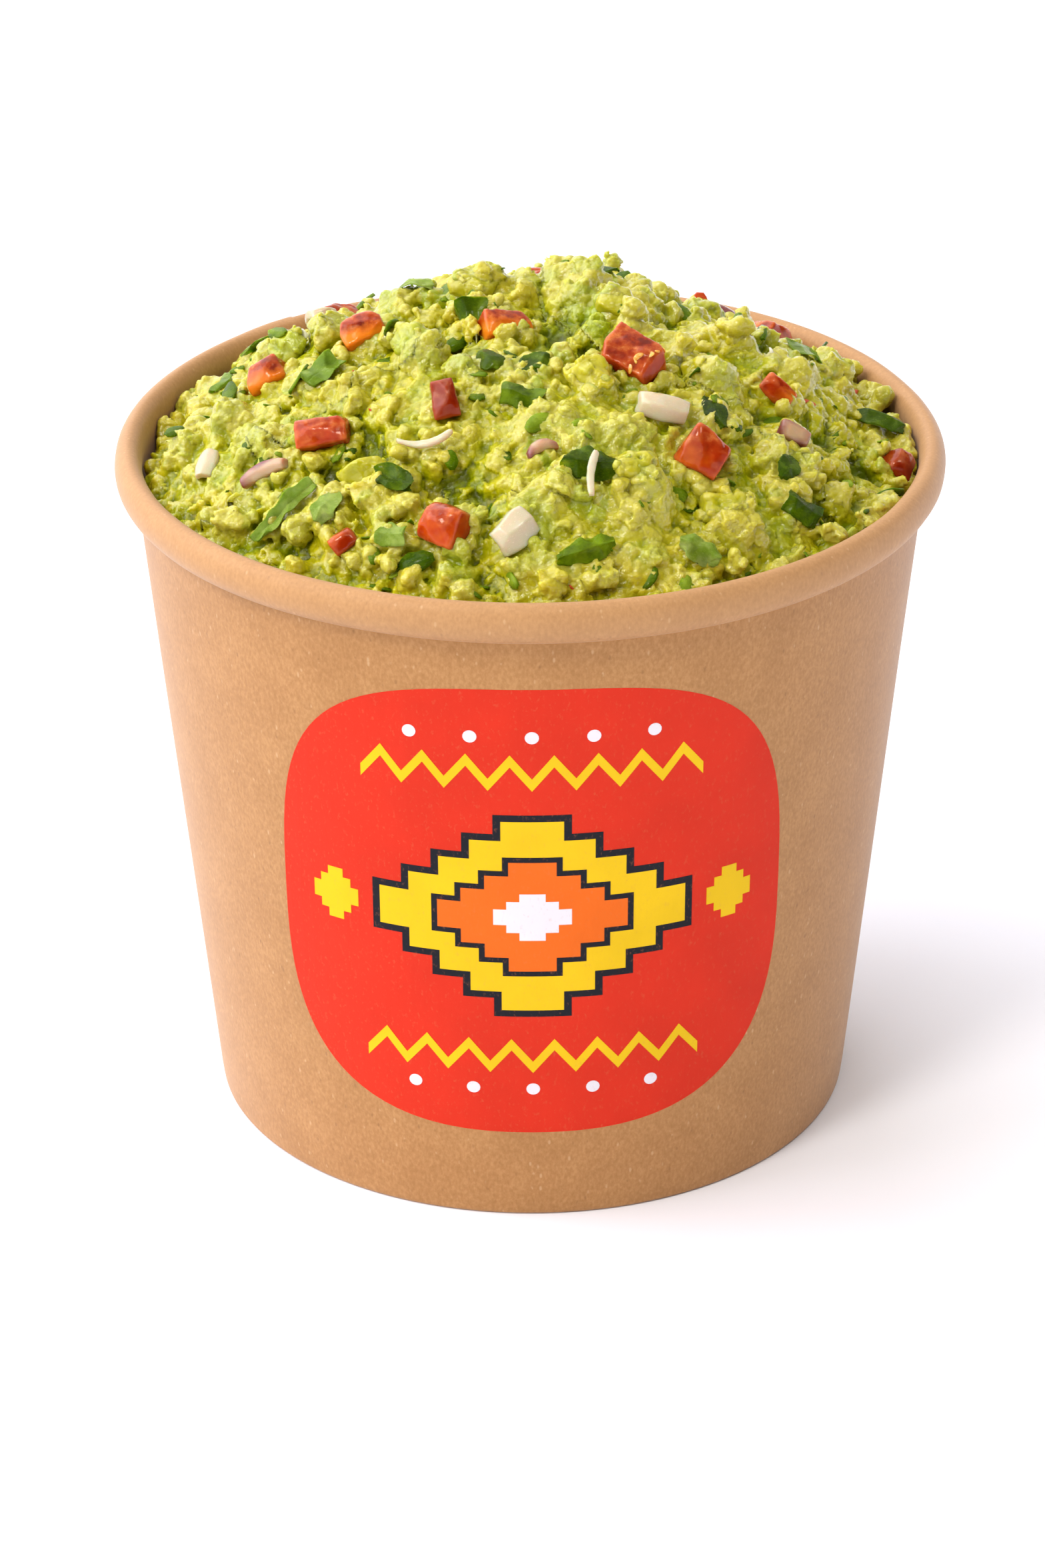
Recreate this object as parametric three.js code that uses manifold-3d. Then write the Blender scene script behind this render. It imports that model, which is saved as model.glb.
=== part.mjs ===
// A kraft-board tub heaped with chunky guacamole: mashed avocado with tomato dice, white and red onion
// and chopped green herbs standing in it. Millimetres, +Z up, origin at the middle of the tub's foot.
// The front of the tub faces -Y.
import * as THREE from "three";
import { ConvexGeometry } from "three/addons/geometries/ConvexGeometry.js";
import { mergeVertices } from "three/addons/utils/BufferGeometryUtils.js";
import Module from "manifold-3d";

const wasm = await Module();
wasm.setup();

// ---- Driving dimensions ----

const TUB_HEIGHT = 84; // foot to the top of the rolled rim
const RIM_RADIUS = 49; // outside of the rolled rim
const FOOT_RADIUS = 38.7; // outside of the wall at the foot
const WALL_TOP_RADIUS = 47.05; // outside of the wall's line, carried up to the rim's top
const BOARD = 0.45; // thickness of the paperboard
const FOLD_GAP = 0.2; // air between two layers of board
const ROLL_WIDTH = 3.2; // the rolled rim's bead, across
const ROLL_HEIGHT = 4.8; // and its height
const HEM_HEIGHT = 6; // how far the wall's lower edge is folded up inside
const FLOOR_TOP = 6.9; // height of the face that the food lies on
const TUB_SEGMENTS = 64;

const FOOD_GAP = 0.3; // clearance between the food, its toppings and the tub
const LEAF_THICK = 0.6; // a chopped herb leaf, wet and a little curled
const HEAP_RADIUS = 45.2; // the heap's edge, just inside the rolled rim
const HEAP_EDGE = TUB_HEIGHT - 4; // height at which the heap meets the wall
const HEAP_RISE = 18.2; // from there to the smooth crown
const HEAP_POWER = 2.5; // how square the dome's shoulders are
const HEAP_RINGS = 12;

const SEAT_DEPTH = 7; // how far a topping's seat in the mash reaches up, out through the surface
const DETAIL = 0.1; // edges of the mash that matter less than this are smoothed away

const TAU = Math.PI * 2;

// ---- Small helpers ----

// A repeatable random source: the same seed gives the same numbers.
function seeded(seed) {
  let state = seed >>> 0;
  return () => {
    state = (state + 0x6d2b79f5) >>> 0;
    let t = state;
    t = Math.imul(t ^ (t >>> 15), t | 1);
    t ^= t + Math.imul(t ^ (t >>> 7), t | 61);
    return ((t ^ (t >>> 14)) >>> 0) / 4294967296;
  };
}

// A number spread evenly over middle - reach to middle + reach.
function around(random, middle, reach) {
  return middle + (random() * 2 - 1) * reach;
}

function radians(degrees) {
  return (degrees * Math.PI) / 180;
}

// The wall's outer face is a straight cone.
function wallOuter(z) {
  return FOOT_RADIUS + ((WALL_TOP_RADIUS - FOOT_RADIUS) * z) / TUB_HEIGHT;
}

// Points on an ellipse about (r, z), from one angle to another, in degrees.
function arc(r, z, halfWidth, halfHeight, from, to, steps) {
  return Array.from({ length: steps + 1 }, (_, i) => {
    const a = radians(from + ((to - from) * i) / steps);
    return new THREE.Vector2(r + halfWidth * Math.cos(a), z + halfHeight * Math.sin(a));
  });
}

// A closed outline in (radius, height), turned about +Z.
function turned(outline) {
  return new THREE.LatheGeometry(outline, TUB_SEGMENTS).rotateX(Math.PI / 2);
}

// A closed mesh, placed by a matrix, as a solid that can be joined and cut.
function solidFrom(geometry, matrix) {
  const bare = new THREE.BufferGeometry();
  bare.setAttribute("position", geometry.getAttribute("position").clone());
  if (geometry.index) bare.setIndex(geometry.index.clone());
  if (matrix) bare.applyMatrix4(matrix);
  const merged = mergeVertices(bare, 1e-4);
  const mesh = new wasm.Mesh({
    numProp: 3,
    vertProperties: new Float32Array(merged.attributes.position.array),
    triVerts: new Uint32Array(merged.index.array),
  });
  return new wasm.Manifold(mesh);
}

function geometryFrom(solid) {
  const mesh = solid.getMesh();
  const geometry = new THREE.BufferGeometry();
  const position = new Float32Array(mesh.numVert * 3);
  for (let i = 0; i < mesh.numVert; i++) {
    position.set(mesh.vertProperties.subarray(i * mesh.numProp, i * mesh.numProp + 3), i * 3);
  }
  geometry.setAttribute("position", new THREE.BufferAttribute(position, 3));
  geometry.setIndex(new THREE.BufferAttribute(new Uint32Array(mesh.triVerts), 1));
  geometry.computeVertexNormals();
  return geometry;
}

// ---- Materials ----

function material(color, roughness) {
  return new THREE.MeshStandardMaterial({ color, roughness, metalness: 0 });
}

const KRAFT = material(0xd3a374, 0.85);
const MASH = material(0xb9bd4e, 0.4);
const TOMATO = material(0xc8402a, 0.25);
const WHITE_ONION = material(0xe9e2d0, 0.3);
const RED_ONION = material(0x8e4a62, 0.3);
const HERB = material(0x3f7a2c, 0.4);

// ---- The tub ----

// The side wall in one piece: rolled outwards into a bead at the top, and folded up inside at the foot,
// where the fold holds the floor's skirt. The fold rests on a narrow flat.
function sideWall() {
  const foldWidth = 3 * BOARD + 2 * FOLD_GAP;
  const foldCorner = 0.5;
  const slotBottom = 1.2;
  const tuckHeight = 0.5; // the bead's free edge tucks up under it by this much
  const beadStart = 2; // the inner face starts to lean into the bead this far below it
  const beadMiddle = TUB_HEIGHT - ROLL_HEIGHT / 2;
  const beadUnderside = TUB_HEIGHT - ROLL_HEIGHT;
  const inner = (z) => wallOuter(z) - BOARD;
  const hemInner = (z) => wallOuter(z) - foldWidth;
  const at = (r, z) => new THREE.Vector2(r, z);
  const foot = [
    ...arc(hemInner(0) + foldCorner, foldCorner, foldCorner, foldCorner, 180, 270, 2),
    ...arc(wallOuter(0) - foldCorner, foldCorner, foldCorner, foldCorner, 270, 360, 2),
  ];
  return turned([
    ...foot,
    at(wallOuter(beadUnderside + tuckHeight), beadUnderside + tuckHeight),
    ...arc(RIM_RADIUS - ROLL_WIDTH / 2, beadMiddle, ROLL_WIDTH / 2, ROLL_HEIGHT / 2, -60, 180, 8),
    at(inner(beadUnderside - beadStart), beadUnderside - beadStart),
    at(inner(slotBottom), slotBottom),
    at(hemInner(slotBottom) + BOARD, slotBottom),
    at(hemInner(HEM_HEIGHT) + BOARD, HEM_HEIGHT),
    at(hemInner(HEM_HEIGHT), HEM_HEIGHT),
    foot[0],
  ]);
}

// The floor: a raised disc with a skirt turned down into the wall's fold.
function floorDisc() {
  const skirtBottom = 1.6;
  const skirtOuter = (z) => wallOuter(z) - BOARD - FOLD_GAP;
  const skirtInner = (z) => skirtOuter(z) - BOARD;
  const underside = FLOOR_TOP - BOARD;
  const at = (r, z) => new THREE.Vector2(r, z);
  return turned([
    at(0, underside),
    at(skirtInner(underside), underside),
    at(skirtInner(skirtBottom), skirtBottom),
    at(skirtOuter(skirtBottom), skirtBottom),
    at(skirtOuter(FLOOR_TOP), FLOOR_TOP),
    at(0, FLOOR_TOP),
  ]);
}

// ---- The heap's bare surface ----

// Long waves that make the spooned-in dome uneven.
const WAVES = (() => {
  const random = seeded(11);
  const lengths = [26, 21, 17, 14, 12, 10, 9];
  return lengths.map((length) => {
    const heading = random() * TAU;
    return {
      x: (Math.cos(heading) * TAU) / length,
      y: (Math.sin(heading) * TAU) / length,
      phase: random() * TAU,
      swing: 0.014 * length + 0.08,
    };
  });
})();

// Broad swells of the heap: where, how wide and how high.
const SWELLS = [
  { at: [-11, 12], wide: 8, high: 1.2 },
  { at: [9, 10], wide: 10, high: 0.6 },
  { at: [25, 1], wide: 7, high: 1.0 },
  { at: [-22, 21], wide: 9, high: -2.4 },
  { at: [-7, 24], wide: 8, high: -1.0 },
  { at: [25, 15], wide: 8, high: -1.2 },
  { at: [-16, -14], wide: 8, high: 1.0 },
  { at: [12, -22], wide: 8, high: 1.0 },
  { at: [0, -40], wide: 11, high: 1.2 },
  { at: [-38, 8], wide: 9, high: -1.2 },
];

function smoothDome(x, y) {
  const share = Math.min(Math.hypot(x, y) / HEAP_RADIUS, 1);
  return HEAP_EDGE + HEAP_RISE * (1 - share ** HEAP_POWER);
}

function heapHeight(x, y) {
  const share = Math.min(Math.hypot(x, y) / HEAP_RADIUS, 1);
  const freedom = 1 - 0.65 * share ** 6; // the wall holds the edge level
  let rise = 0;
  for (const w of WAVES) rise += w.swing * Math.sin(w.x * x + w.y * y + w.phase);
  for (const s of SWELLS) {
    const away = Math.hypot(x - s.at[0], y - s.at[1]) / s.wide;
    rise += s.high * Math.exp(-away * away);
  }
  return smoothDome(x, y) + rise * freedom;
}

function domeNormal(x, y) {
  const step = 0.5;
  const dx = smoothDome(x + step, y) - smoothDome(x - step, y);
  const dy = smoothDome(x, y + step) - smoothDome(x, y - step);
  return new THREE.Vector3(-dx, -dy, 2 * step).normalize();
}

// A disc of points in rings of 6, 12, 18 ..., joined by even triangles. Its corners run ring by ring.
function ringStart(ring) {
  return ring === 0 ? 0 : 1 + 3 * ring * (ring - 1);
}

function ringTriangles(ring) {
  const triangles = [];
  const inner = Math.max(6 * (ring - 1), 1);
  const outer = 6 * ring;
  for (let side = 0; side < 6; side++) {
    for (let step = 0; step < ring; step++) {
      const a = ringStart(ring) + side * ring + step;
      const b = ringStart(ring) + ((side * ring + step + 1) % outer);
      const c = ringStart(ring - 1) + ((side * (ring - 1) + step) % inner);
      triangles.push(c, a, b);
      if (step < ring - 1) {
        const d = ringStart(ring - 1) + ((side * (ring - 1) + step + 1) % inner);
        triangles.push(c, b, d);
      }
    }
  }
  return triangles;
}

// The bare core: the uneven dome, and below it the food that fills the tub down to its floor.
function bareCore() {
  const points = [];
  const triangles = [];
  for (let ring = 0; ring <= HEAP_RINGS; ring++) {
    const radius = (HEAP_RADIUS * ring) / HEAP_RINGS;
    for (let i = 0; i < Math.max(6 * ring, 1); i++) {
      const a = ring === 0 ? 0 : (i / (6 * ring)) * TAU;
      const x = radius * Math.cos(a);
      const y = radius * Math.sin(a);
      points.push(x, y, heapHeight(x, y));
    }
    if (ring > 0) triangles.push(...ringTriangles(ring));
  }
  const edgeCount = 6 * HEAP_RINGS;
  const bottom = FLOOR_TOP + FOOD_GAP;
  let above = ringStart(HEAP_RINGS);
  for (const z of [HEAP_EDGE - 5, bottom]) {
    const radius = Math.min(wallOuter(z) - BOARD - FOOD_GAP, HEAP_RADIUS);
    const below = points.length / 3;
    for (let i = 0; i < edgeCount; i++) {
      const a = (i / edgeCount) * TAU;
      points.push(radius * Math.cos(a), radius * Math.sin(a), z);
    }
    for (let i = 0; i < edgeCount; i++) {
      const j = (i + 1) % edgeCount;
      triangles.push(above + i, below + i, below + j, above + i, below + j, above + j);
    }
    above = below;
  }
  const centre = points.length / 3;
  points.push(0, 0, bottom);
  for (let i = 0; i < edgeCount; i++) triangles.push(centre, above + ((i + 1) % edgeCount), above + i);
  const geometry = new THREE.BufferGeometry();
  geometry.setAttribute("position", new THREE.Float32BufferAttribute(points, 3));
  geometry.setIndex(triangles);
  return geometry;
}

// ---- Pieces ----

// Where a piece stands on the heap: at (x, y), its middle lifted off the bare surface, turned about the
// surface's own upright and then tipped about its length and width.
function seat({ at, lift = 0, turn = 0, tip: [tipAcross, tipAlong = 0] = [0] }) {
  const upright = domeNormal(at[0], at[1]);
  const place = new THREE.Vector3(at[0], at[1], heapHeight(at[0], at[1])).addScaledVector(upright, lift);
  const lean = new THREE.Quaternion().setFromUnitVectors(new THREE.Vector3(0, 0, 1), upright);
  const spin = new THREE.Quaternion().setFromAxisAngle(new THREE.Vector3(0, 0, 1), radians(turn));
  const tilt = new THREE.Quaternion().setFromEuler(new THREE.Euler(radians(tipAcross), radians(tipAlong), 0));
  return new THREE.Matrix4().compose(place, lean.multiply(spin).multiply(tilt), new THREE.Vector3(1, 1, 1));
}

// A knife-cut die: four sides and a base of flesh, not quite square, and a bowed skin on top.
function die({ size, seed }) {
  const random = seeded(seed);
  const points = [];
  for (const sx of [-1, 1]) {
    for (const sy of [-1, 1]) {
      for (const sz of [-1, 1]) {
        const corner = new THREE.Vector3(
          (sx * size[0] * around(random, 1, 0.1)) / 2,
          (sy * size[1] * around(random, 1, 0.1)) / 2,
          (sz * size[2] * around(random, 1, 0.1)) / 2,
        );
        const cut = 0.12; // share of each edge that its corner has lost
        points.push(corner.clone().multiply(new THREE.Vector3(1 - cut, 1, 1)));
        points.push(corner.clone().multiply(new THREE.Vector3(1, 1 - cut, 1)));
        points.push(corner.clone().multiply(new THREE.Vector3(1, 1, 1 - cut)));
      }
    }
  }
  const crown = size[2] * 0.62; // the skin's highest two points, a little off the middle
  const offset = size[0] * 0.18;
  points.push(new THREE.Vector3(offset, 0, crown));
  points.push(new THREE.Vector3(-offset, size[1] * 0.1, crown));
  return new ConvexGeometry(points);
}

// How wide a plate is along its length, as a share of its full width.
const OUTLINES = {
  blunt: (u) => 0.82 + 0.18 * Math.sin(Math.PI * u),
  leaf: (u) => 0.28 + 0.72 * Math.sin(Math.PI * u) ** 0.8,
  round: (u) => Math.sqrt(Math.max(1 - (2 * u - 1) ** 2, 0.12)),
  strip: (u) => 0.7 + 0.3 * Math.sin(Math.PI * u),
};

// A thin piece: length x width x thickness, arched along its length, cupped across its width, bowed
// sideways and waved. Both faces are split into triangles alike.
function plate({ size, outline = "blunt", arch = 0, cup = 0, bow = 0, wave = 0, cells = [4, 2] }) {
  const [length, width, thick = LEAF_THICK] = size;
  const [along, across] = cells;
  const points = [];
  const triangles = [];
  const row = across + 1;
  const layer = (along + 1) * row;
  for (const side of [1, -1]) {
    for (let i = 0; i <= along; i++) {
      const u = i / along;
      const reach = width * OUTLINES[outline](u);
      const fromMiddle = 2 * u - 1;
      const crown = 1 - fromMiddle ** 2;
      for (let j = 0; j <= across; j++) {
        const v = j / across - 0.5;
        const relief = arch * crown + cup * (1 - 4 * v * v) + wave * Math.sin(u * TAU + 3 * v);
        points.push((length * fromMiddle) / 2, v * reach + bow * crown, relief + (side * thick) / 2);
      }
    }
  }
  for (let i = 0; i < along; i++) {
    for (let j = 0; j < across; j++) {
      const a = i * row + j;
      const b = a + row;
      triangles.push(a, b, b + 1, a, b + 1, a + 1);
      triangles.push(layer + a, layer + b + 1, layer + b, layer + a, layer + a + 1, layer + b + 1);
    }
  }
  const rim = [];
  for (let i = 0; i < along; i++) rim.push(i * row);
  for (let j = 0; j < across; j++) rim.push(along * row + j);
  for (let i = along; i > 0; i--) rim.push(i * row + across);
  for (let j = across; j > 0; j--) rim.push(j);
  rim.forEach((a, i) => {
    const b = rim[(i + 1) % rim.length];
    triangles.push(a, layer + b, b, a, layer + a, layer + b);
  });
  const geometry = new THREE.BufferGeometry();
  geometry.setAttribute("position", new THREE.Float32BufferAttribute(points, 3));
  geometry.setIndex(triangles);
  return geometry;
}

// A soft lump or a stiff chip: a twenty-sided body with uneven corners.
function lump({ size, seed }) {
  const random = seeded(seed);
  const corners = new THREE.IcosahedronGeometry(1, 0).getAttribute("position");
  const points = new Map();
  for (let i = 0; i < corners.count; i++) {
    const corner = new THREE.Vector3().fromBufferAttribute(corners, i);
    const key = corner.toArray().map((n) => n.toFixed(3)).join();
    if (points.has(key)) continue;
    const out = around(random, 1, 0.16) / 2;
    points.set(key, corner.multiply(new THREE.Vector3(size[0] * out, size[1] * out, size[2] * out)));
  }
  return new ConvexGeometry([...points.values()]);
}

// ---- Toppings that are pieces of their own ----

const TOMATOES = [
  { at: [-30.3, 1.4], size: [5.4, 3.5, 3.4], lift: 0.5, turn: 8, tip: [34, -4] },
  { at: [-23.3, -18.7], size: [5.8, 3.4, 3.2], lift: 0.4, turn: -12, tip: [30, 6] },
  { at: [-19.2, -0.8], size: [5.2, 3.7, 3.6], lift: 0.6, turn: 18, tip: [34, -10] },
  { at: [-2.8, -1.8], size: [5.9, 3.5, 3.5], lift: 0.6, turn: 14, tip: [36, 8] },
  { at: [-9.6, -18.8], size: [3.0, 4.4, 4.8], lift: 0.1, turn: 6, tip: [44] },
  { at: [11.6, -11.2], size: [6.8, 4.9, 3.7], lift: 0.8, turn: -36, tip: [24, 8] },
  { at: [19.2, -24.2], size: [5.0, 4.8, 4.3], lift: 0.8, turn: -24, tip: [34, 6] },
  { at: [-9.3, -35.4], size: [4.7, 4.3, 4.3], lift: 0.9, turn: -32, tip: [26, -8] },
  { at: [28.6, -7.0], size: [4.3, 2.8, 3.2], lift: 0.3, turn: -18, tip: [42, 4] },
  { at: [42.6, -7.0], size: [2.8, 3.4, 3.4], lift: 0.3, turn: 4, tip: [30, 4] },
  { at: [-21.0, -33.8], size: [2.8, 2.4, 2.8], lift: -0.1, turn: 24, tip: [20] },
  { at: [-23.5, 31.0], size: [5.4, 4.2, 4.0], lift: -0.1, turn: 50, tip: [-30, 6] },
  { at: [-4.5, 37.8], size: [5.2, 4.8, 4.2], lift: 0.4, turn: 14, tip: [-26, -8] },
  { at: [14.0, 29.5], size: [5.6, 4.4, 3.6], lift: -0.7, turn: -40, tip: [-16, 10] },
  { at: [29.5, 30.0], size: [4.8, 3.8, 3.8], lift: 0.0, turn: 34, tip: [-20, -10] },
  { at: [1.0, 19.0], size: [4.2, 3.2, 3.0], lift: -0.5, turn: -8, tip: [-14] },
];

const WHITE_ONIONS = [
  { at: [14.8, -19.6], size: [6.0, 3.1, 1.3], cup: 0.8, arch: 0.4, lift: 0.8, turn: -4, tip: [46] },
  { at: [-2.0, -37.0], size: [5.0, 4.4, 1.3], cup: 0.8, arch: 0.4, lift: 0.9, turn: 42, tip: [28] },
  { at: [-37.2, -12.4], size: [4.2, 2.6, 1.1], cup: 0.5, lift: 0.3, turn: 72, tip: [20] },
  {
    at: [-11.4, -24.4], size: [7.2, 0.9, 0.8], outline: "strip", bow: -1.3, cells: [6, 1],
    lift: 1.7, turn: 4, tip: [24, -4],
  },
  {
    at: [6.8, -32.0], size: [6.6, 1.1, 0.7], outline: "strip", bow: 0.4, cells: [5, 1],
    lift: 2.7, turn: 86, tip: [0, 5],
  },
  { at: [-24.4, 12.0], size: [3.6, 2.8, 1.2], cup: 0.5, arch: 0.3, lift: 0.9, turn: 30, tip: [-20, 20] },
  { at: [-14.0, 33.0], size: [5.4, 3.8, 1.3], cup: 0.8, arch: 0.4, lift: 0.4, turn: 62, tip: [-34] },
  { at: [20.5, 38.0], size: [5.0, 3.8, 1.3], cup: 0.8, arch: 0.4, lift: 0.5, turn: -30, tip: [-30] },
];

const RED_ONIONS = [
  {
    at: [-29.9, -20.6], size: [6.2, 1.9, 1.2], outline: "strip", cup: 0.3, bow: 0.5,
    lift: 0.6, turn: 0, tip: [30],
  },
  { at: [30.0, -14.8], size: [3.8, 2.3, 1.2], cup: 0.4, arch: 0.2, lift: 0.5, turn: -6, tip: [30] },
  {
    at: [1.4, -27.4], size: [3.8, 1.5, 1.0], outline: "strip", cup: 0.3, bow: 0.8,
    lift: 0.5, turn: 28, tip: [32],
  },
  { at: [22.5, 23.5], size: [5.0, 2.8, 1.2], cup: 0.6, arch: 0.3, lift: 0.4, turn: -24, tip: [-24] },
];

const HERBS = [
  { at: [-6.7, 0.9], size: [3.8, 3.6], cup: 0.3, lift: 1.3, turn: 4, tip: [54] },
  {
    at: [-27.3, -27.2], size: [9.6, 2.3], outline: "strip", arch: 0.5, cup: 0.3,
    cells: [5, 2], lift: 1.3, turn: 30, tip: [26],
  },
  { at: [6.5, -30.0], size: [6.4, 4.6], outline: "round", cup: 0.7, lift: 0.9, turn: 0, tip: [10] },
  {
    at: [40.6, 1.2], size: [6.4, 4.6], outline: "round", cup: 0.5, wave: 0.2,
    lift: 1.3, turn: -8, tip: [14, -26],
  },
  { at: [20.6, -17.8], size: [5.8, 2.5], outline: "leaf", cup: 0.5, lift: 1.2, turn: -62, tip: [24] },
  {
    at: [28.6, -20.9], size: [4.8, 3.2], outline: "leaf", cup: 0.5, wave: 0.2,
    lift: 1.0, turn: 74, tip: [14],
  },
  {
    at: [5.9, -38.8], size: [7.4, 3.2], outline: "leaf", cup: 0.6, arch: 0.3,
    lift: 0.9, turn: 24, tip: [16],
  },
  { at: [-15.3, -35.8], size: [3.8, 3.2], cup: 0.5, lift: 1.0, turn: -18, tip: [12] },
  { at: [30.4, -25.6], size: [4.8, 3.6], cup: 0.6, wave: 0.2, lift: 0.8, turn: -8, tip: [14] },
  {
    at: [-15.2, -29.0], size: [5.6, 3.6], outline: "leaf", cup: 0.4, wave: 0.3,
    lift: 0.8, turn: -34, tip: [12],
  },
  { at: [-1.0, -18.9], size: [4.8, 3.4], cup: 0.5, wave: 0.2, lift: 1.0, turn: -20, tip: [20] },
  { at: [0.6, -12.6], size: [4.6, 3.6], outline: "round", cup: 0.4, lift: 0.5, turn: 10, tip: [24] },
  {
    at: [-4.6, -12.4], size: [4.8, 3.0], outline: "leaf", cup: 0.4, wave: 0.2,
    lift: 1.2, turn: -52, tip: [18],
  },
  { at: [-23.6, -7.4], size: [5.4, 3.2], cup: 0.4, wave: 0.2, lift: 1.0, turn: 44, tip: [24] },
  {
    at: [18.4, -35.6], size: [5.2, 3.6], outline: "round", cup: 0.6, wave: 0.2,
    lift: 0.8, turn: -14, tip: [10],
  },
  {
    at: [-22.6, -29.6], size: [4.8, 3.4], outline: "leaf", cup: 0.3, wave: 0.3,
    lift: 0.7, turn: 52, tip: [10],
  },
  {
    at: [-13.2, 11.4], size: [5.0, 3.4], outline: "leaf", cup: 0.5, wave: 0.2,
    lift: 1.3, turn: -20, tip: [-6],
  },
  { at: [8.4, 14.6], size: [5.2, 3.2], outline: "leaf", cup: 0.5, lift: 1.3, turn: -30, tip: [-4] },
  { at: [32.5, 8.5], size: [5.2, 3.4], cup: 0.4, wave: 0.3, lift: 0.9, turn: 30, tip: [0] },
  { at: [-36.5, 12.5], size: [5.6, 3.4], outline: "leaf", cup: 0.4, lift: 0.8, turn: 70, tip: [-10] },
  {
    at: [-5.0, 28.0], size: [5.6, 3.4], outline: "leaf", cup: 0.4, wave: 0.3,
    lift: 0.8, turn: 8, tip: [-14],
  },
  { at: [-32.0, 21.5], size: [5.2, 3.2], cup: 0.5, wave: 0.2, lift: 0.8, turn: 50, tip: [-14] },
  { at: [10.0, 39.0], size: [5.4, 3.6], outline: "round", cup: 0.6, lift: 0.8, turn: 26, tip: [-20] },
  { at: [-15.5, 22.0], size: [4.6, 3.2], cup: 0.4, wave: 0.2, lift: 0.8, turn: -38, tip: [-12] },
  {
    at: [35.5, 19.0], size: [5.6, 3.0], outline: "leaf", cup: 0.4, wave: 0.2,
    lift: 0.9, turn: 64, tip: [-10],
  },
];

// Large smooth chunks of avocado, which are part of the mash.
const CHUNKS = [
  { at: [7.1, -16.4], size: [6.2, 6.8, 5.6], lift: 0.9, turn: 20 },
  { at: [10.1, 2.6], size: [6.8, 5.6, 4.4], lift: 1.0, turn: 10 },
  { at: [22.8, -30.2], size: [7.8, 6.6, 5.4], lift: 1.0, turn: -18 },
  { at: [30.6, -30.6], size: [9.4, 5.2, 5.0], lift: 0.6, turn: 40 },
  { at: [-19.6, -25.6], size: [6.8, 4.4, 4.0], lift: 0.9, turn: 48 },
  { at: [21.0, -9.6], size: [6.6, 6.2, 5.0], lift: 0.9, turn: 14 },
  { at: [-12.8, -8.2], size: [8.2, 7.0, 5.2], lift: 0.9, turn: 0 },
  { at: [-2.6, -23.0], size: [6.4, 5.2, 5.0], lift: 1.1, turn: 30 },
  { at: [13.0, -31.0], size: [7.0, 5.4, 4.6], lift: 0.7, turn: -10 },
  { at: [-6.0, 10.0], size: [8.0, 7.0, 5.4], lift: 1.2, turn: 40 },
  { at: [4.0, 31.0], size: [7.4, 6.0, 5.0], lift: 1.0, turn: -30 },
  { at: [-30.0, 8.5], size: [7.0, 5.6, 5.0], lift: 0.8, turn: 60 },
];

// Pieces fused on by a seeded rule: how many, their sizes, and how far they stand out of the surface.
const SMALL_LUMPS = { count: 84, largest: 7.6, smallest: 3.4, standing: 0.08, seed: 29 };
const HERB_CHIPS = { count: 10, length: 3.4, thick: 0.9, standing: 0.7, seed: 53 };
const TRIES = 14; // random places weighed up for each of them
const MOST_TIP = 40; // how far each may be tipped either way, in degrees

// ---- Building it ----

const group = new THREE.Group();

function addMesh(name, geometry, finish, matrix) {
  const mesh = new THREE.Mesh(geometry, finish);
  mesh.name = name;
  if (matrix) matrix.decompose(mesh.position, mesh.quaternion, mesh.scale);
  group.add(mesh);
}

// The room that a topping needs in the mash: a box round it, a little larger, open upwards.
function clearanceFor(geometry, matrix) {
  geometry.computeBoundingBox();
  const box = geometry.boundingBox.clone().expandByScalar(FOOD_GAP);
  const points = [];
  for (const x of [box.min.x, box.max.x]) {
    for (const y of [box.min.y, box.max.y]) {
      for (const z of [box.min.z, box.max.z]) {
        const corner = new THREE.Vector3(x, y, z).applyMatrix4(matrix);
        points.push(corner, corner.clone().add(new THREE.Vector3(0, 0, SEAT_DEPTH)));
      }
    }
  }
  return solidFrom(new ConvexGeometry(points));
}

const clearances = [];

function addToppings(prefix, list, shape, finish) {
  list.forEach((piece, i) => {
    const geometry = shape({ seed: 101 + i * 7, ...piece });
    const matrix = seat(piece);
    addMesh(`${prefix}_${i + 1}`, geometry, finish, matrix);
    clearances.push(clearanceFor(geometry, matrix));
  });
}

addMesh("tub_wall", sideWall(), KRAFT);
addMesh("tub_floor", floorDisc(), KRAFT);
addToppings("tomato", TOMATOES, die, TOMATO);
addToppings("onion", WHITE_ONIONS, plate, WHITE_ONION);
addToppings("red_onion", RED_ONIONS, plate, RED_ONION);
addToppings("herb", HERBS, plate, HERB);

const seats = wasm.Manifold.union(clearances);

function isClear(solid) {
  return solid.intersect(seats).isEmpty();
}

// Lumps and chips scattered evenly: of several random places that are clear of the toppings, each piece
// takes the one furthest from the pieces before it.
function scatter({ count, seed }, sizeOf, liftOf, room) {
  const random = seeded(seed);
  const placed = [];
  const solids = [];
  for (let i = 0; i < count; i++) {
    const size = sizeOf(i / (count - 1), random);
    const reach = HEAP_RADIUS - Math.max(size[0], size[1]) / 2;
    let best = null;
    for (let attempt = 0; attempt < TRIES; attempt++) {
      const radius = reach * Math.sqrt(random());
      const bearing = random() * TAU;
      const at = [radius * Math.cos(bearing), radius * Math.sin(bearing)];
      const tip = [around(random, 0, MOST_TIP), around(random, 0, MOST_TIP)];
      const place = { at, tip, turn: random() * 360, lift: liftOf(size) };
      const near = [...placed, ...room];
      const gap = Math.min(...near.map((p) => Math.hypot(p.at[0] - at[0], p.at[1] - at[1]) - p.size[0] / 2));
      if (best && best.gap >= gap) continue;
      const solid = solidFrom(lump({ size, seed: seed + i * 13 + attempt }), seat(place));
      if (isClear(solid)) best = { gap, solid, at, size };
    }
    if (!best) continue;
    placed.push(best);
    solids.push(best.solid);
  }
  return solids;
}

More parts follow.
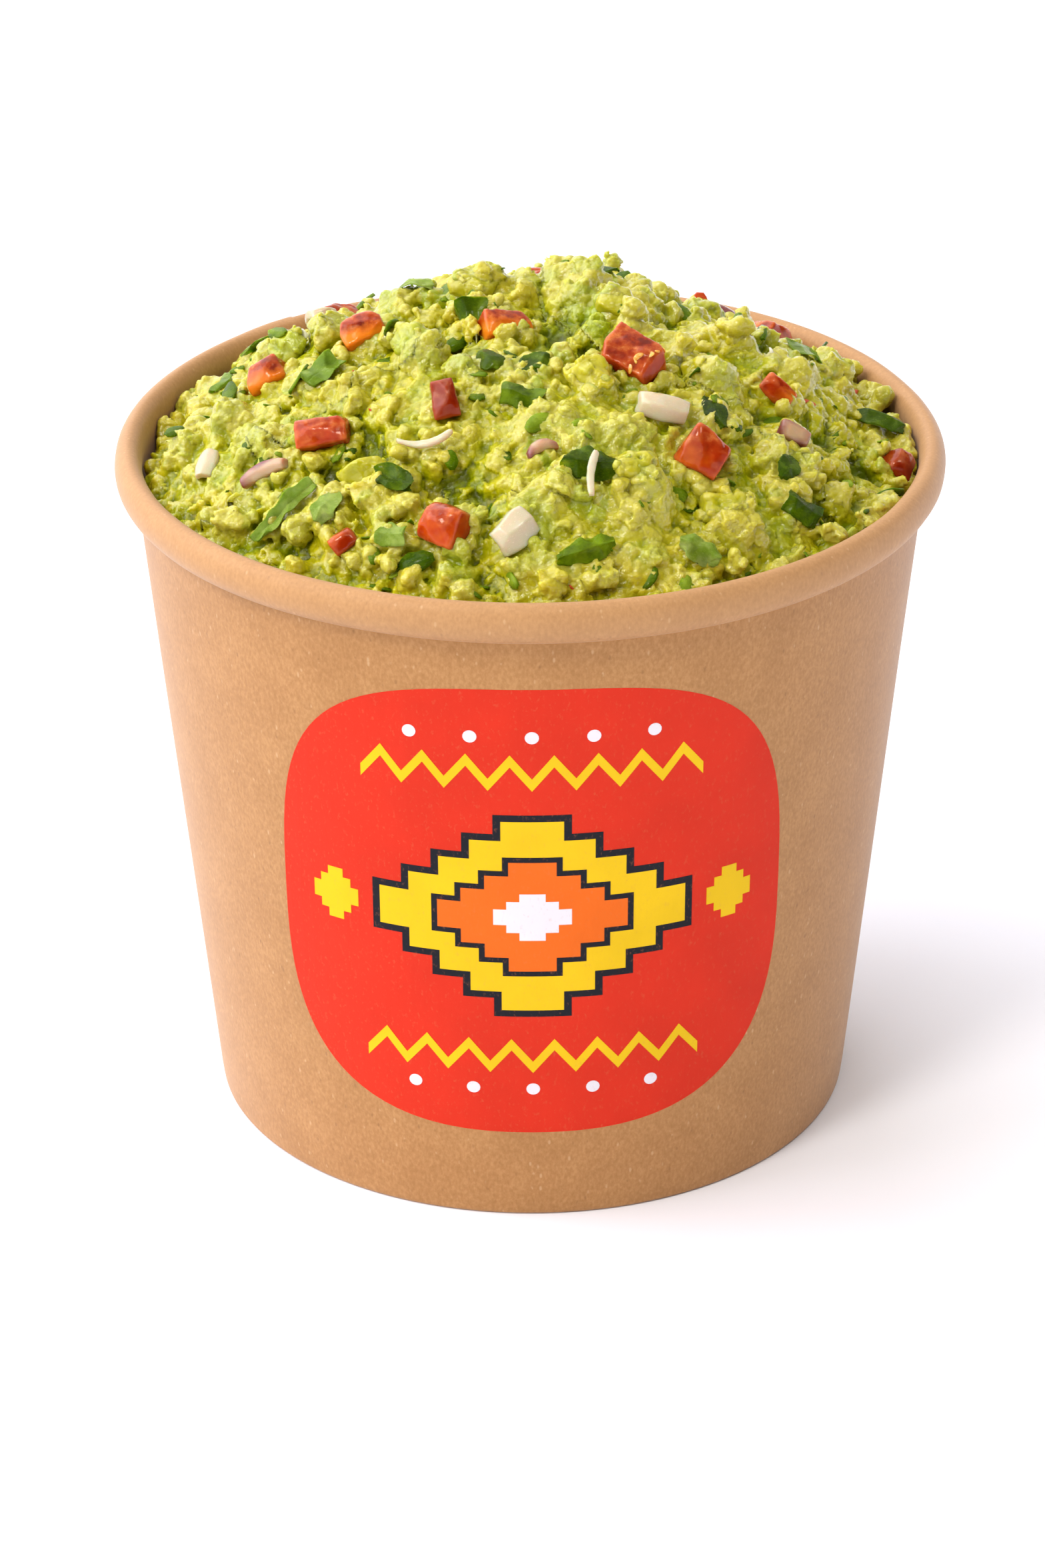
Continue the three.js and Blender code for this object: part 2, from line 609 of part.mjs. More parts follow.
// The inside of the tub, carried on upwards: nothing that is fused to the core may pass it.
function mouthColumn() {
  const radius = HEAP_RADIUS + 0.1;
  const top = TUB_HEIGHT + 2 * HEAP_RISE;
  const corners = [[0, 0], [radius, 0], [radius, top], [0, top]];
  return solidFrom(turned(corners.map(([r, z]) => new THREE.Vector2(r, z))));
}

// The guacamole: the bare core with a seat cut for each topping, and the pieces that are part of it fused on.
function guacamole() {
  const chunks = CHUNKS.map((chunk, i) => solidFrom(lump({ seed: 211 + i * 5, ...chunk }), seat(chunk)));
  const lumpSize = (share, random) => {
    const across = SMALL_LUMPS.smallest + (SMALL_LUMPS.largest - SMALL_LUMPS.smallest) * (1 - share) ** 1.6;
    return [across, across * around(random, 0.85, 0.1), across * around(random, 0.72, 0.1)];
  };
  const chipSize = (share, random) => {
    const length = HERB_CHIPS.length * around(random, 1, 0.2);
    return [length, length * 0.7, HERB_CHIPS.thick];
  };
  const lumps = scatter(SMALL_LUMPS, lumpSize, (size) => size[2] * SMALL_LUMPS.standing, CHUNKS);
  const chips = scatter(HERB_CHIPS, chipSize, () => HERB_CHIPS.standing, []);
  const pieces = wasm.Manifold.union([...chunks.filter(isClear), ...lumps, ...chips]);
  const whole = solidFrom(bareCore()).subtract(seats).add(pieces).intersect(mouthColumn()).simplify(DETAIL);
  const largestFirst = whole.decompose().sort((a, b) => b.volume() - a.volume());
  return geometryFrom(largestFirst[0]);
}

addMesh("guacamole", guacamole(), MASH);

export default group;
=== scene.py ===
import math
from contextlib import contextmanager
from itertools import product

import bmesh
import bpy
import numpy as np
from mathutils import Matrix, Vector
from mathutils.bvhtree import BVHTree
from mathutils.geometry import delaunay_2d_cdt
from mathutils.kdtree import KDTree


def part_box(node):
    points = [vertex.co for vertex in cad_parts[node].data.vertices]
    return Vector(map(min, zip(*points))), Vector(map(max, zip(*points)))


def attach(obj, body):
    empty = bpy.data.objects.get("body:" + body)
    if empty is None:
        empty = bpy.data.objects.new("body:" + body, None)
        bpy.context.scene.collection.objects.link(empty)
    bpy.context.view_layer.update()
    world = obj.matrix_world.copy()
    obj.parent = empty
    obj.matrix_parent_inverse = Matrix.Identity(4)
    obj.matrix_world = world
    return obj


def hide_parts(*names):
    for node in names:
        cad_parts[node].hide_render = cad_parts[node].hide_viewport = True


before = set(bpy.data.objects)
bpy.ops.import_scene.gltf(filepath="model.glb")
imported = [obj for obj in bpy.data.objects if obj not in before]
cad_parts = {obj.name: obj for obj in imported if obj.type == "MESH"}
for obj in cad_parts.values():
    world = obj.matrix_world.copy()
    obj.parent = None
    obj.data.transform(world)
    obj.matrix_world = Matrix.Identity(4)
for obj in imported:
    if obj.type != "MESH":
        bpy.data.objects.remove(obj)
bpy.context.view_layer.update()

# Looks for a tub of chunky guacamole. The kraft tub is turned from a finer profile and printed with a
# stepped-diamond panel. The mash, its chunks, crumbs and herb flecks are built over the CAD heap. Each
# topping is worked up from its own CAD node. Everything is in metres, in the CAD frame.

MM = 0.001
TAU = 2 * math.pi

# ---- Sizes shared with the CAD part ----

FLOOR_LOW, FLOOR_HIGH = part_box("tub_floor")
RIM_RADIUS, _, TUB_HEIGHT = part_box("tub_wall")[1]
FOOT_RADIUS = 38.7 * MM
WALL_TOP_RADIUS = 47.05 * MM
BOARD = 0.45 * MM
FOLD_GAP = 0.2 * MM
ROLL_WIDTH = 3.2 * MM
ROLL_HEIGHT = 4.8 * MM
HEM_HEIGHT = 6 * MM
HEAP_RADIUS = 45.2 * MM
HEAP_EDGE = TUB_HEIGHT - 4 * MM

TOPPINGS = [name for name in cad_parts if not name.startswith(("tub", "guacamole"))]


def wall_outer(z):
    return FOOT_RADIUS + (WALL_TOP_RADIUS - FOOT_RADIUS) * z / TUB_HEIGHT


def each(kind):
    """The CAD nodes of one kind of topping, numbered."""
    return enumerate(name for name in TOPPINGS if kind in name)


# ---- Noise, the same on every run ----

LATTICE_STEPS = np.array([374761393, 668265263, 1442695041])
FACET_SLANT = 1.6


def lattice(cell, seed):
    """A number from 0 to 1 for each whole-number point."""
    h = (cell @ LATTICE_STEPS + seed * 974634777) & 0xFFFFFFFF
    h = ((h ^ (h >> 13)) * 1274126177) & 0xFFFFFFFF
    return (h ^ (h >> 16)) / 4294967295


def noise(points, size, seed):
    """Smooth bumps of about that size, from -1 to 1."""
    q = points / size
    cell = np.floor(q).astype(np.int64)
    f = q - cell
    f = f * f * (3 - 2 * f)
    total = np.zeros(len(points))
    for corner in product((0, 1), repeat=3):
        near = np.abs(1 - np.array(corner) - f)
        total += near[:, 0] * near[:, 1] * near[:, 2] * lattice(cell + np.array(corner), seed)
    return 2 * total - 1


def near_cells(points, size, seed, draws):
    """Each cell next to the points: where the points lie from its corner, and the cell's own draws."""
    q = points / size
    cell = np.floor(q).astype(np.int64)
    for step in product((-1, 0, 1), repeat=3):
        c = cell + np.array(step)
        yield q - c, np.stack([lattice(c, seed + k) for k in range(draws)], 1)


def grains(points, size, seed):
    """Round grains of about that size: 1 at the middle of a grain, 0 in the creases between them."""
    nearest = np.full(len(points), 9.0)
    for at, draw in near_cells(points, size, seed, 3):
        nearest = np.minimum(nearest, np.linalg.norm(at - draw, axis=1))
    return np.clip(1 - nearest ** 2, 0, 1)


def facets(points, size, seed):
    """Flat faces of about that size, each at its own height and slant, from about -1 to 1."""
    nearest = np.full(len(points), 9.0)
    value = np.zeros(len(points))
    for at, draw in near_cells(points, size, seed, 7):
        away = at - draw[:, :3]
        gap = np.linalg.norm(away, axis=1)
        lean = (draw[:, 3:6] * 2 - 1) * FACET_SLANT
        face = draw[:, 6] * 1.2 - 0.6 + (away * lean).sum(1)
        value = np.where(gap < nearest, face, value)
        nearest = np.minimum(nearest, gap)
    return np.clip(value, -1.2, 1.2)


# ---- Mesh helpers ----

def circle(steps):
    """Even angles once round."""
    return np.linspace(0, TAU, steps, endpoint=False)


def linked(name, data):
    obj = bpy.data.objects.new(name, data)
    bpy.context.scene.collection.objects.link(obj)
    return obj


def new_object(name, verts, faces, smooth=True):
    mesh = bpy.data.meshes.new(name)
    mesh.from_pydata([tuple(v) for v in verts], [], [tuple(f) for f in faces])
    mesh.update()
    mesh.polygons.foreach_set("use_smooth", [smooth] * len(mesh.polygons))
    return linked(name, mesh)


def disc_faces(rings, steps):
    """Faces of a disc: a fan about vertex 0, then bands between rings of that many vertices."""
    faces = [(0, 1 + i, 1 + (i + 1) % steps) for i in range(steps)]
    for k, i in product(range(rings - 1), range(steps)):
        p = 1 + k * steps
        q = p + steps
        j = (i + 1) % steps
        faces.append((p + i, q + i, q + j, p + j))
    return faces


def finish_piece(obj, material, slot, *nodes):
    """Gives a piece its material and its body, and hides the CAD nodes that it replaces. slot is not used."""
    obj.data.materials.append(material)
    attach(obj, "root")
    if nodes:
        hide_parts(*nodes)


def gathered(items, key, width, kind=float):
    """One value of every item, as an array of that many columns."""
    values = np.empty(len(items) * width, dtype=kind)
    items.foreach_get(key, values)
    return values.reshape(-1, width)


def points_of(mesh):
    return gathered(mesh.vertices, "co", 3)


def normals_of(mesh):
    mesh.update()
    return gathered(mesh.vertex_normals, "vector", 3)


def edges_of(mesh):
    return gathered(mesh.edges, "vertices", 2, np.int64)


def set_points(mesh, co):
    mesh.vertices.foreach_set("co", co.astype(np.float32).ravel())
    mesh.update()


def store(mesh, **values):
    """Values for each point, which the materials read by name."""
    for name, value in values.items():
        layer = mesh.attributes.new(name, "FLOAT", "POINT")
        layer.data.foreach_set("value", np.asarray(value, dtype=np.float32))


def relaxed(co, edges, rounds, share=0.5):
    """Each point moved towards the mean of its neighbours, several times."""
    n = len(co)
    a, b = edges.T
    count = np.maximum(np.bincount(edges.ravel(), minlength=n), 1)[:, None]
    for _ in range(rounds):
        sums = [np.bincount(a, co[b, k], n) + np.bincount(b, co[a, k], n) for k in range(3)]
        co = co + share * (np.stack(sums, 1) / count - co)
    return co


def softened(mesh, rounds):
    """Takes the corners off a mesh, and returns its points."""
    co = relaxed(points_of(mesh), edges_of(mesh), rounds)
    set_points(mesh, co)
    return co


def remeshed(obj, voxel):
    """Replaces the object's mesh by an even skin of that fineness, which joins all that overlaps."""
    skin = obj.modifiers.new("skin", "REMESH")
    skin.mode = "VOXEL"
    skin.voxel_size = voxel
    depsgraph = bpy.context.evaluated_depsgraph_get()
    mesh = bpy.data.meshes.new_from_object(obj.evaluated_get(depsgraph))
    obj.modifiers.clear()
    old = obj.data
    obj.data = mesh
    mesh.name = obj.name
    bpy.data.meshes.remove(old)
    mesh.polygons.foreach_set("use_smooth", [True] * len(mesh.polygons))
    return obj


@contextmanager
def edited(mesh):
    """A mesh opened for editing, and written back at the end."""
    bm = bmesh.new()
    bm.from_mesh(mesh)
    yield bm
    bm.to_mesh(mesh)
    bm.free()


def fill_holes(bm):
    bmesh.ops.holes_fill(bm, edges=[e for e in bm.edges if e.is_boundary], sides=0)


def cut(bm, at, way, **clear):
    """Cuts off what lies on one side of a plane."""
    geom = bm.verts[:] + bm.edges[:] + bm.faces[:]
    bmesh.ops.bisect_plane(bm, geom=geom, plane_co=at, plane_no=way, **clear)


def arrays_of(bm):
    """The points, triangles and edges of a mesh being edited, which ends the editing."""
    bmesh.ops.triangulate(bm, faces=bm.faces)
    bm.verts.index_update()
    co = np.array([v.co for v in bm.verts])
    faces = np.array([[v.index for v in f.verts] for f in bm.faces])
    edges = np.array([[v.index for v in e.verts] for e in bm.edges])
    bm.free()
    return co, faces, edges


def hull_of(points):
    """The convex hull of some points, as (vertices, triangles)."""
    bm = bmesh.new()
    for p in points:
        bm.verts.new(p)
    bmesh.ops.convex_hull(bm, input=bm.verts)
    bmesh.ops.delete(bm, geom=[v for v in bm.verts if not v.link_faces], context="VERTS")
    bmesh.ops.triangulate(bm, faces=bm.faces)
    bmesh.ops.recalc_face_normals(bm, faces=bm.faces)
    return arrays_of(bm)[:2]


def lump_shapes(count, corners, seed):
    """Uneven many-sided lumps about one unit in radius."""
    rng = np.random.default_rng(seed)
    shapes = []
    for _ in range(count):
        p = rng.normal(size=(corners, 3))
        p /= np.linalg.norm(p, axis=1, keepdims=True)
        shapes.append(hull_of(p * rng.uniform(0.82, 1.12, (corners, 1))))
    return shapes


def refined(shape, rounds):
    """The same shape with four triangles for each, and its corners taken off."""
    verts, faces = shape
    bm = bmesh.new()
    made = [bm.verts.new(v) for v in verts]
    for f in faces:
        bm.faces.new([made[i] for i in f])
    bmesh.ops.subdivide_edges(bm, edges=bm.edges, cuts=1, use_grid_fill=True)
    co, fine, edges = arrays_of(bm)
    return relaxed(co, edges, rounds, 0.4), fine


def turns(rng, count):
    """That many rotation matrices, in every direction alike."""
    q = rng.normal(size=(count, 4))
    q /= np.linalg.norm(q, axis=1, keepdims=True)
    w, x, y, z = q.T
    return np.stack([
        np.stack([1 - 2 * (y * y + z * z), 2 * (x * y - z * w), 2 * (x * z + y * w)], 1),
        np.stack([2 * (x * y + z * w), 1 - 2 * (x * x + z * z), 2 * (y * z - x * w)], 1),
        np.stack([2 * (x * z - y * w), 2 * (y * z + x * w), 1 - 2 * (x * x + y * y)], 1)], 1)


def copies(shapes, centres, scales, rotations, rng):
    """Joined copies of a few shapes: (vertices, faces, which copy each vertex belongs to)."""
    pick = rng.integers(0, len(shapes), len(centres))
    verts, faces, owner = [], [], []
    start = 0
    for i, (centre, scale, turn) in enumerate(zip(centres, scales, rotations)):
        v, f = shapes[pick[i]]
        verts.append((v * scale) @ turn.T + centre)
        faces.append(f + start)
        owner.append(np.full(len(v), i))
        start += len(v)
    return np.concatenate(verts), np.concatenate(faces), np.concatenate(owner)


def tree_of_meshes(meshes):
    """One search tree over several meshes."""
    verts, faces = [], []
    for mesh in meshes:
        start = len(verts)
        verts += [v.co.copy() for v in mesh.vertices]
        faces += [[start + i for i in p.vertices] for p in mesh.polygons]
    return BVHTree.FromPolygons(verts, faces)


def tree_of(names):
    """One search tree over several CAD nodes."""
    return tree_of_meshes([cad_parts[name].data for name in names])


def plumb(tree, x, y):
    """The point and the normal where a plumb line first meets the tree, or None for both."""
    return tree.ray_cast(Vector((x, y, 0.2)), Vector((0, 0, -1)))[:2]


def gap_to(tree, point):
    return tree.find_nearest(Vector(point))[3]


# ---- Shader helpers ----

def srgb(red, green, blue):
    """A colour as read from a screen, 0 to 255, in the linear values that shaders take."""
    def linear(c):
        c /= 255
        return c / 12.92 if c <= 0.04045 else ((c + 0.055) / 1.055) ** 2.4
    return (linear(red), linear(green), linear(blue), 1.0)


def darker(colour, share):
    return tuple(c * share for c in colour[:3]) + (1.0,)


class Shader:
    """A material whose nodes are made one short call at a time."""

    def __init__(self, name, **sockets):
        self.material = bpy.data.materials.new(name)
        self.material.use_nodes = True
        self.tree = self.material.node_tree
        self.surface = self.tree.nodes["Principled BSDF"]
        for socket, value in sockets.items():
            self.surface.inputs[socket.replace("_", " ")].default_value = value
        self.place = self.node("TexCoord", "Object", {})

    def feed(self, socket, value):
        if isinstance(value, bpy.types.NodeSocket):
            self.tree.links.new(value, socket)
        else:
            socket.default_value = value

    def node(self, kind, output, inputs, **settings):
        """A new node with its inputs linked or set, and the output that is wanted."""
        made = self.tree.nodes.new("ShaderNode" + kind)
        for key, value in settings.items():
            setattr(made, key, value)
        for socket, value in inputs.items():
            self.feed(made.inputs[socket], value)
        return made.outputs[output]

    def attribute(self, name):
        return self.node("Attribute", "Fac", {}, attribute_name=name)

    def math(self, operation, a, b):
        return self.node("Math", 0, {0: a, 1: b}, operation=operation)

    def add(self, a, b):
        return self.math("ADD", a, b)

    def less(self, a, b):
        return self.math("SUBTRACT", a, b)

    def times(self, a, b):
        return self.math("MULTIPLY", a, b)

    def stretched(self, x, y, z):
        return self.node("Mapping", 0, {"Vector": self.place, "Scale": (x, y, z)})

    def noise(self, scale, detail=3.0, rough=0.5, vector=None):
        inputs = {"Vector": vector or self.place, "Scale": scale, "Detail": detail, "Roughness": rough}
        return self.node("TexNoise", "Fac", inputs)

    def cells(self, scale, vector=None):
        return self.node("TexVoronoi", "Distance", {"Vector": vector or self.place, "Scale": scale})

    def between(self, value, low, high, out_low=0.0, out_high=1.0):
        """The value carried from one range to another, and held inside it."""
        inputs = {"Value": value, "From Min": low, "From Max": high, "To Min": out_low, "To Max": out_high}
        return self.node("MapRange", 0, inputs)

    def ramp(self, value, *stops):
        ramp = self.node("ValToRGB", 0, {0: value})
        elements = ramp.node.color_ramp.elements
        while len(elements) < len(stops):
            elements.new(0.5)
        for element, (at, colour) in zip(elements, stops):
            element.position = at
            element.color = colour
        return ramp

    def mix(self, share, a, b):
        return self.node("MixRGB", "Color", {"Fac": share, "Color1": a, "Color2": b})

    def fibres(self):
        """The fine short fibres of kraft board."""
        return self.noise(2600, 3, 0.6, self.stretched(1, 1, 0.6))

    def lines(self, scale, detail):
        """Streaks that run along a piece: fine across it and long along it."""
        along = self.times(self.attribute("along"), 0.08)
        place = self.node("CombineXYZ", 0, {0: self.attribute("across"), 1: along})
        return self.noise(scale, detail, 0.5, place)

    def bump(self, height, depth, strength=1.0):
        return self.node("Bump", 0, {"Strength": strength, "Distance": depth, "Height": height})

    def finish(self, colour, roughness=None, normal=None, coat_normal=None, coat=None):
        fed = {"Base Color": colour, "Roughness": roughness, "Normal": normal,
               "Coat Normal": coat_normal, "Coat Weight": coat}
        for socket, value in fed.items():
            if value is not None:
                self.feed(self.surface.inputs[socket], value)
        return self.material


# ---- Materials ----

def kraft_material(name):
    """Brown kraft board: smooth, with fine short fibres, a few paler and a few darker than the rest."""
    s = Shader(name, Roughness=0.5, Specular_IOR_Level=0.2, Sheen_Weight=0.12, Sheen_Roughness=0.5)
    fibres = s.fibres()
    tone = s.add(s.times(s.noise(130, 4, 0.6), 0.3), s.times(fibres, 0.7))
    board = s.ramp(tone, (0.36, srgb(157, 110, 61)), (0.5, srgb(167, 119, 69)), (0.64, srgb(178, 130, 79)))
    flecks = s.cells(1100, s.stretched(1, 1, 0.45))
    drawn = s.noise(700, 2)
    pale = s.times(s.between(flecks, 0.10, 0.22, 0.55, 0.0), s.between(drawn, 0.52, 0.6))
    dark = s.times(s.between(flecks, 0.10, 0.22, 0.45, 0.0), s.between(drawn, 0.46, 0.38))
    board = s.mix(pale, board, srgb(200, 162, 118))
    board = s.mix(dark, board, srgb(122, 82, 46))
    # Paler on the rolled rim: partly painted light falling on its top, partly its stretched, smoother board.
    board = s.mix(s.times(s.attribute("bead"), 0.3), board, srgb(196, 154, 112))
    return s.finish(board, normal=s.bump(fibres, 0.04 * MM, 0.4))


def ink_material(name, colour):
    """Flat printing ink on kraft board, which shows its fibres a little."""
    s = Shader(name, Roughness=0.6, Specular_IOR_Level=0.12)
    fibres = s.fibres()
    wear = s.between(fibres, 0.25, 0.42, 0.2, 0.0)
    tint = s.mix(s.between(s.noise(120, 3), 0.35, 0.7), darker(colour, 0.92), colour)
    tint = s.mix(wear, tint, srgb(190, 120, 80))
    return s.finish(tint, normal=s.bump(fibres, 0.04 * MM, 0.5))


def mash_material(name, smoothness=0.0):
    """Moist mashed avocado: wet where it stands out and green by lump, painted paler where it stands out
    (painted light) and olive in the creases (painted shade).
    """
    s = Shader(name, Subsurface_Weight=0.75, Subsurface_Scale=1.8 * MM, Subsurface_Radius=(1.0, 0.88, 0.12),
               Coat_Roughness=0.17, Specular_IOR_Level=0.12, Specular_Tint=(1.0, 0.95, 0.3, 1))
    crumb = s.cells(1500)
    # The fine cells make the middles of the grains paler and the creases between them darker: painted light
    # and shade, over random mottling from the noise.
    mottle = s.add(s.less(s.noise(600, 4, 0.6), 0.5), s.between(crumb, 0, 0.8, 0.15, -0.25))
    # The relief paints light on the raised lumps and grains and paints shade in the creases and hollows.
    level = s.between(s.add(s.attribute("relief"), mottle), -1.6, 1.6)
    colour = s.ramp(level, (0.0, srgb(80, 87, 0)), (0.25, srgb(122, 126, 0)), (0.5, srgb(164, 159, 4)),
                    (0.75, srgb(173, 165, 30)), (1.0, srgb(180, 171, 68)))
    juice = s.between(s.noise(95, 4, 0.6), 0.56, 0.70, 0.0, 0.5)
    greener = s.math("MAXIMUM", s.between(s.attribute("tone"), 0.15, 1.0, 0.0, 0.65), juice)
    colour = s.mix(greener, colour, srgb(126, 150, 10))
    yellower = s.between(s.attribute("tone"), -0.2, -0.95, 0.0, 0.5)
    colour = s.mix(yellower, colour, srgb(190, 172, 22))
    rough = s.between(s.noise(420, 3), 0.3, 0.75, 0.2, 0.4)
    height = s.less(s.noise(1100, 4, 0.6), s.times(crumb, 0.9))
    skin = s.bump(height, (0.28 - 0.18 * smoothness) * MM, 0.7)
    wet = s.between(s.attribute("relief"), -0.6, 0.4, 0.35, 0.8)
    return s.finish(colour, rough, skin, s.bump(height, 0.16 * MM, 0.6), wet)


def tomato_material():
    """Cut tomato: mottled red flesh above, orange where light comes through (painted light), paler along its
    ridges (painted highlight).
    """
    s = Shader("tomato", Subsurface_Weight=0.6, Subsurface_Scale=2.0 * MM, Subsurface_Radius=(1.0, 0.3, 0.05),
               Coat_Weight=0.28, Coat_Roughness=0.08, Specular_IOR_Level=0.25,
               Specular_Tint=(1.0, 0.5, 0.25, 1))
    fibre = s.noise(420, 5, 0.7)
    cell = s.cells(900)
    mottle = s.add(fibre, s.times(s.less(cell, 0.4), 0.35))
    flesh = s.ramp(mottle, (0.32, srgb(100, 14, 0)), (0.46, srgb(134, 34, 3)), (0.6, srgb(162, 62, 17)),
                   (0.8, srgb(202, 122, 60)))
    skin = s.ramp(s.noise(300, 3), (0.3, srgb(132, 20, 0)), (0.5, srgb(166, 46, 3)), (0.7, srgb(194, 86, 12)))
    colour = s.mix(s.between(s.attribute("above"), 0.25, 0.7), skin, flesh)
    # Paler orange along the dice's ridges: painted highlight.
    colour = s.mix(s.between(s.attribute("edge"), 0.2, 1.0, 0.0, 0.6), colour, srgb(216, 120, 64))
    # Orange on the front lower side of a few dice: a painted glow of light coming through them.
    amber = s.between(s.add(s.attribute("amber"), s.less(fibre, 0.5)), 0.25, 0.8, 0.0, 0.9)
    colour = s.mix(amber, colour, srgb(222, 124, 22))
    # Darker red for a high tone: painted shade on the dice that lie deep in the mash, random tone on the
    # others.
    deep = s.between(s.attribute("tone"), 0.15, 1.0, 0.0, 0.75)
    colour = s.mix(deep, colour, srgb(108, 20, 2))
    height = s.add(fibre, s.times(cell, 0.6))
    return s.finish(colour, s.between(fibre, 0.3, 0.7, 0.12, 0.30), s.bump(height, 0.1 * MM, 0.5))


def seed_material():
    """Tomato seeds in their jelly: amber, wet."""
    s = Shader("tomato_seed", Subsurface_Weight=0.3, Subsurface_Scale=0.8 * MM, Coat_Weight=0.3,
               Coat_Roughness=0.08)
    grain = s.noise(1500, 3)
    colour = s.ramp(grain, (0.3, srgb(216, 122, 24)), (0.7, srgb(238, 178, 70)))
    return s.finish(colour, s.between(grain, 0.3, 0.7, 0.2, 0.35), s.bump(grain, 0.05 * MM, 0.5))


def onion_material(name, pale, edge, reach):
    """Onion flesh: see-through pale layers with fine lines along them, and a tinted rim."""
    s = Shader(name, Subsurface_Weight=0.8, Subsurface_Scale=2.6 * MM, Coat_Weight=0.3, Coat_Roughness=0.08,
               Transmission_Weight=0.25)
    lines = s.lines(26, 3)
    body = s.ramp(lines, (0.3, darker(pale, 0.9)), (0.7, pale))
    colour = s.mix(s.between(s.attribute("rim"), reach, 1.0), body, edge)
    return s.finish(colour, s.between(lines, 0.3, 0.7, 0.14, 0.28), s.bump(lines, 0.05 * MM, 0.4))


def herb_material(name, dark, mid, light):
    """Chopped leaf: deep green and wet, with pale veins and lighter worn patches."""
    s = Shader(name, Subsurface_Weight=0.3, Subsurface_Scale=0.8 * MM, Subsurface_Radius=(0.6, 1.0, 0.05),
               Coat_Weight=0.12, Coat_Roughness=0.1, Specular_IOR_Level=0.1,
               Specular_Tint=(0.8, 1.0, 0.15, 1))
    patch = s.noise(420, 4, 0.6)
    ribs = s.lines(30, 2)
    tone = s.add(s.times(patch, 0.7), s.times(s.attribute("tone"), 0.3))
    colour = s.ramp(tone, (0.28, dark), (0.5, mid), (0.74, light))
    colour = s.mix(s.between(ribs, 0.58, 0.70, 0.0, 0.5), colour, light)
    height = s.add(ribs, s.times(patch, 0.6))
    return s.finish(colour, s.between(patch, 0.3, 0.7, 0.16, 0.36), s.bump(height, 0.16 * MM, 0.7))


# ---- The tub ----

TUB_STEPS = 224
BASE_STEPS = 128
BASE_HOLE = 0.02  # the base is turned round a tiny hole, a share of its radius, and closed afterwards
SEAM_AT = math.radians(128)  # the side seam is at the back
SEAM_WIDTH = math.radians(11)
SEAM_RISE = 0.32 * MM
WALL_DENTS = (17 * MM, 0.09 * MM)  # how wide and how deep
BEAD_DENTS = (6 * MM, 0.05 * MM)


def arc(r, z, half_width, half_height, start, end, steps):
    angles = np.radians(np.linspace(start, end, steps + 1))
    return [(r + half_width * math.cos(a), z + half_height * math.sin(a)) for a in angles]


def wall_outline():
    """The side wall's section: from the fold at its foot up the outside, over the rim and down the inside."""
    fold = 3 * BOARD + 2 * FOLD_GAP
    corner = 0.5 * MM
    slot = 1.2 * MM
    middle = TUB_HEIGHT - ROLL_HEIGHT / 2
    underside = TUB_HEIGHT - ROLL_HEIGHT
    bead_r = RIM_RADIUS - ROLL_WIDTH / 2

    def hem(z):
        return wall_outer(z) - fold

    low = arc(hem(0) + corner, corner, corner, corner, 180, 270, 4)
    low += arc(wall_outer(0) - corner, corner, corner, corner, 270, 360, 4)
    face = [(wall_outer(z), z) for z in np.linspace(2 * MM, underside - 0.4 * MM, 12)]
    tuck = [(wall_outer(underside) + 0.10 * MM, underside + 0.35 * MM)]
    bead = arc(bead_r, middle, ROLL_WIDTH / 2, ROLL_HEIGHT / 2, -78, 180, 26)
    inside = [(wall_outer(z) - BOARD, z) for z in np.linspace(underside - 1.5 * MM, slot, 8)]
    hem_face = [(hem(z) + BOARD, z) for z in (slot, HEM_HEIGHT)] + [(hem(z), z) for z in (HEM_HEIGHT, 3 * MM)]
    return low + face + tuck + bead + inside + hem_face


def turned(name, outline, angles, shift=None):
    """A closed outline of (radius, height) turned about +Z. shift moves a point outwards."""
    n = len(outline)
    verts, faces = [], []
    for a in angles:
        for r, z in outline:
            out = shift(a, r, z) if shift else 0.0
            verts.append(((r + out) * math.cos(a), (r + out) * math.sin(a), z))
    for i in range(len(angles)):
        j = (i + 1) % len(angles)
        for k in range(n):
            m = (k + 1) % n
            faces.append((i * n + k, j * n + k, j * n + m, i * n + m))
    return new_object(name, verts, faces)


def tub_angles():
    """Even steps all round, with fine ones at the seam's edge."""
    edge = SEAM_AT + np.radians([-0.12, 0.0, 0.12, 0.3])
    return np.unique(np.concatenate([circle(TUB_STEPS), edge]))


def seam_shift(a, r, z):
    """How far the board's lap at the seam moves a point of the outer face: a step, then a long slope."""
    since = (a - SEAM_AT) % TAU
    if since >= SEAM_WIDTH or r <= wall_outer(z) - 0.05 * MM or z <= 1 * MM:
        return 0.0
    return SEAM_RISE * min(since / math.radians(0.15), 1) * min((SEAM_WIDTH - since) / math.radians(7), 1)


def on_bead(co):
    """1 for points on the rolled rim, 0 for those under it."""
    return np.clip((co[:, 2] - (TUB_HEIGHT - ROLL_HEIGHT)) / (1 * MM), 0, 1)


def dented(co):
    """Points of the board and of its print, moved in or out together by its slight unevenness."""
    radius = np.hypot(co[:, 0], co[:, 1])
    tall = np.stack([co[:, 0], co[:, 1], co[:, 2] * 0.6], 1)
    dent = noise(tall, WALL_DENTS[0], 5) * WALL_DENTS[1]
    dent += on_bead(co) * noise(tall, BEAD_DENTS[0], 6) * BEAD_DENTS[1]
    clear_of_foot = np.clip((co[:, 2] - 2 * MM) / (10 * MM), 0, 1)
    out = co.copy()
    out[:, :2] *= (1 + dent * clear_of_foot / np.maximum(radius, 1e-6))[:, None]
    return out


def build_wall():
    wall = turned("tub_shell", wall_outline(), tub_angles(), seam_shift)
    co = dented(points_of(wall.data))
    set_points(wall.data, co)
    # The bead value also makes the rim paler in the board's colour: partly painted light, partly the smoother
    # board of the fold.
    store(wall.data, bead=on_bead(co))
    finish_piece(wall, kraft_material("kraft_board"), "kraft_board", "tub_wall")


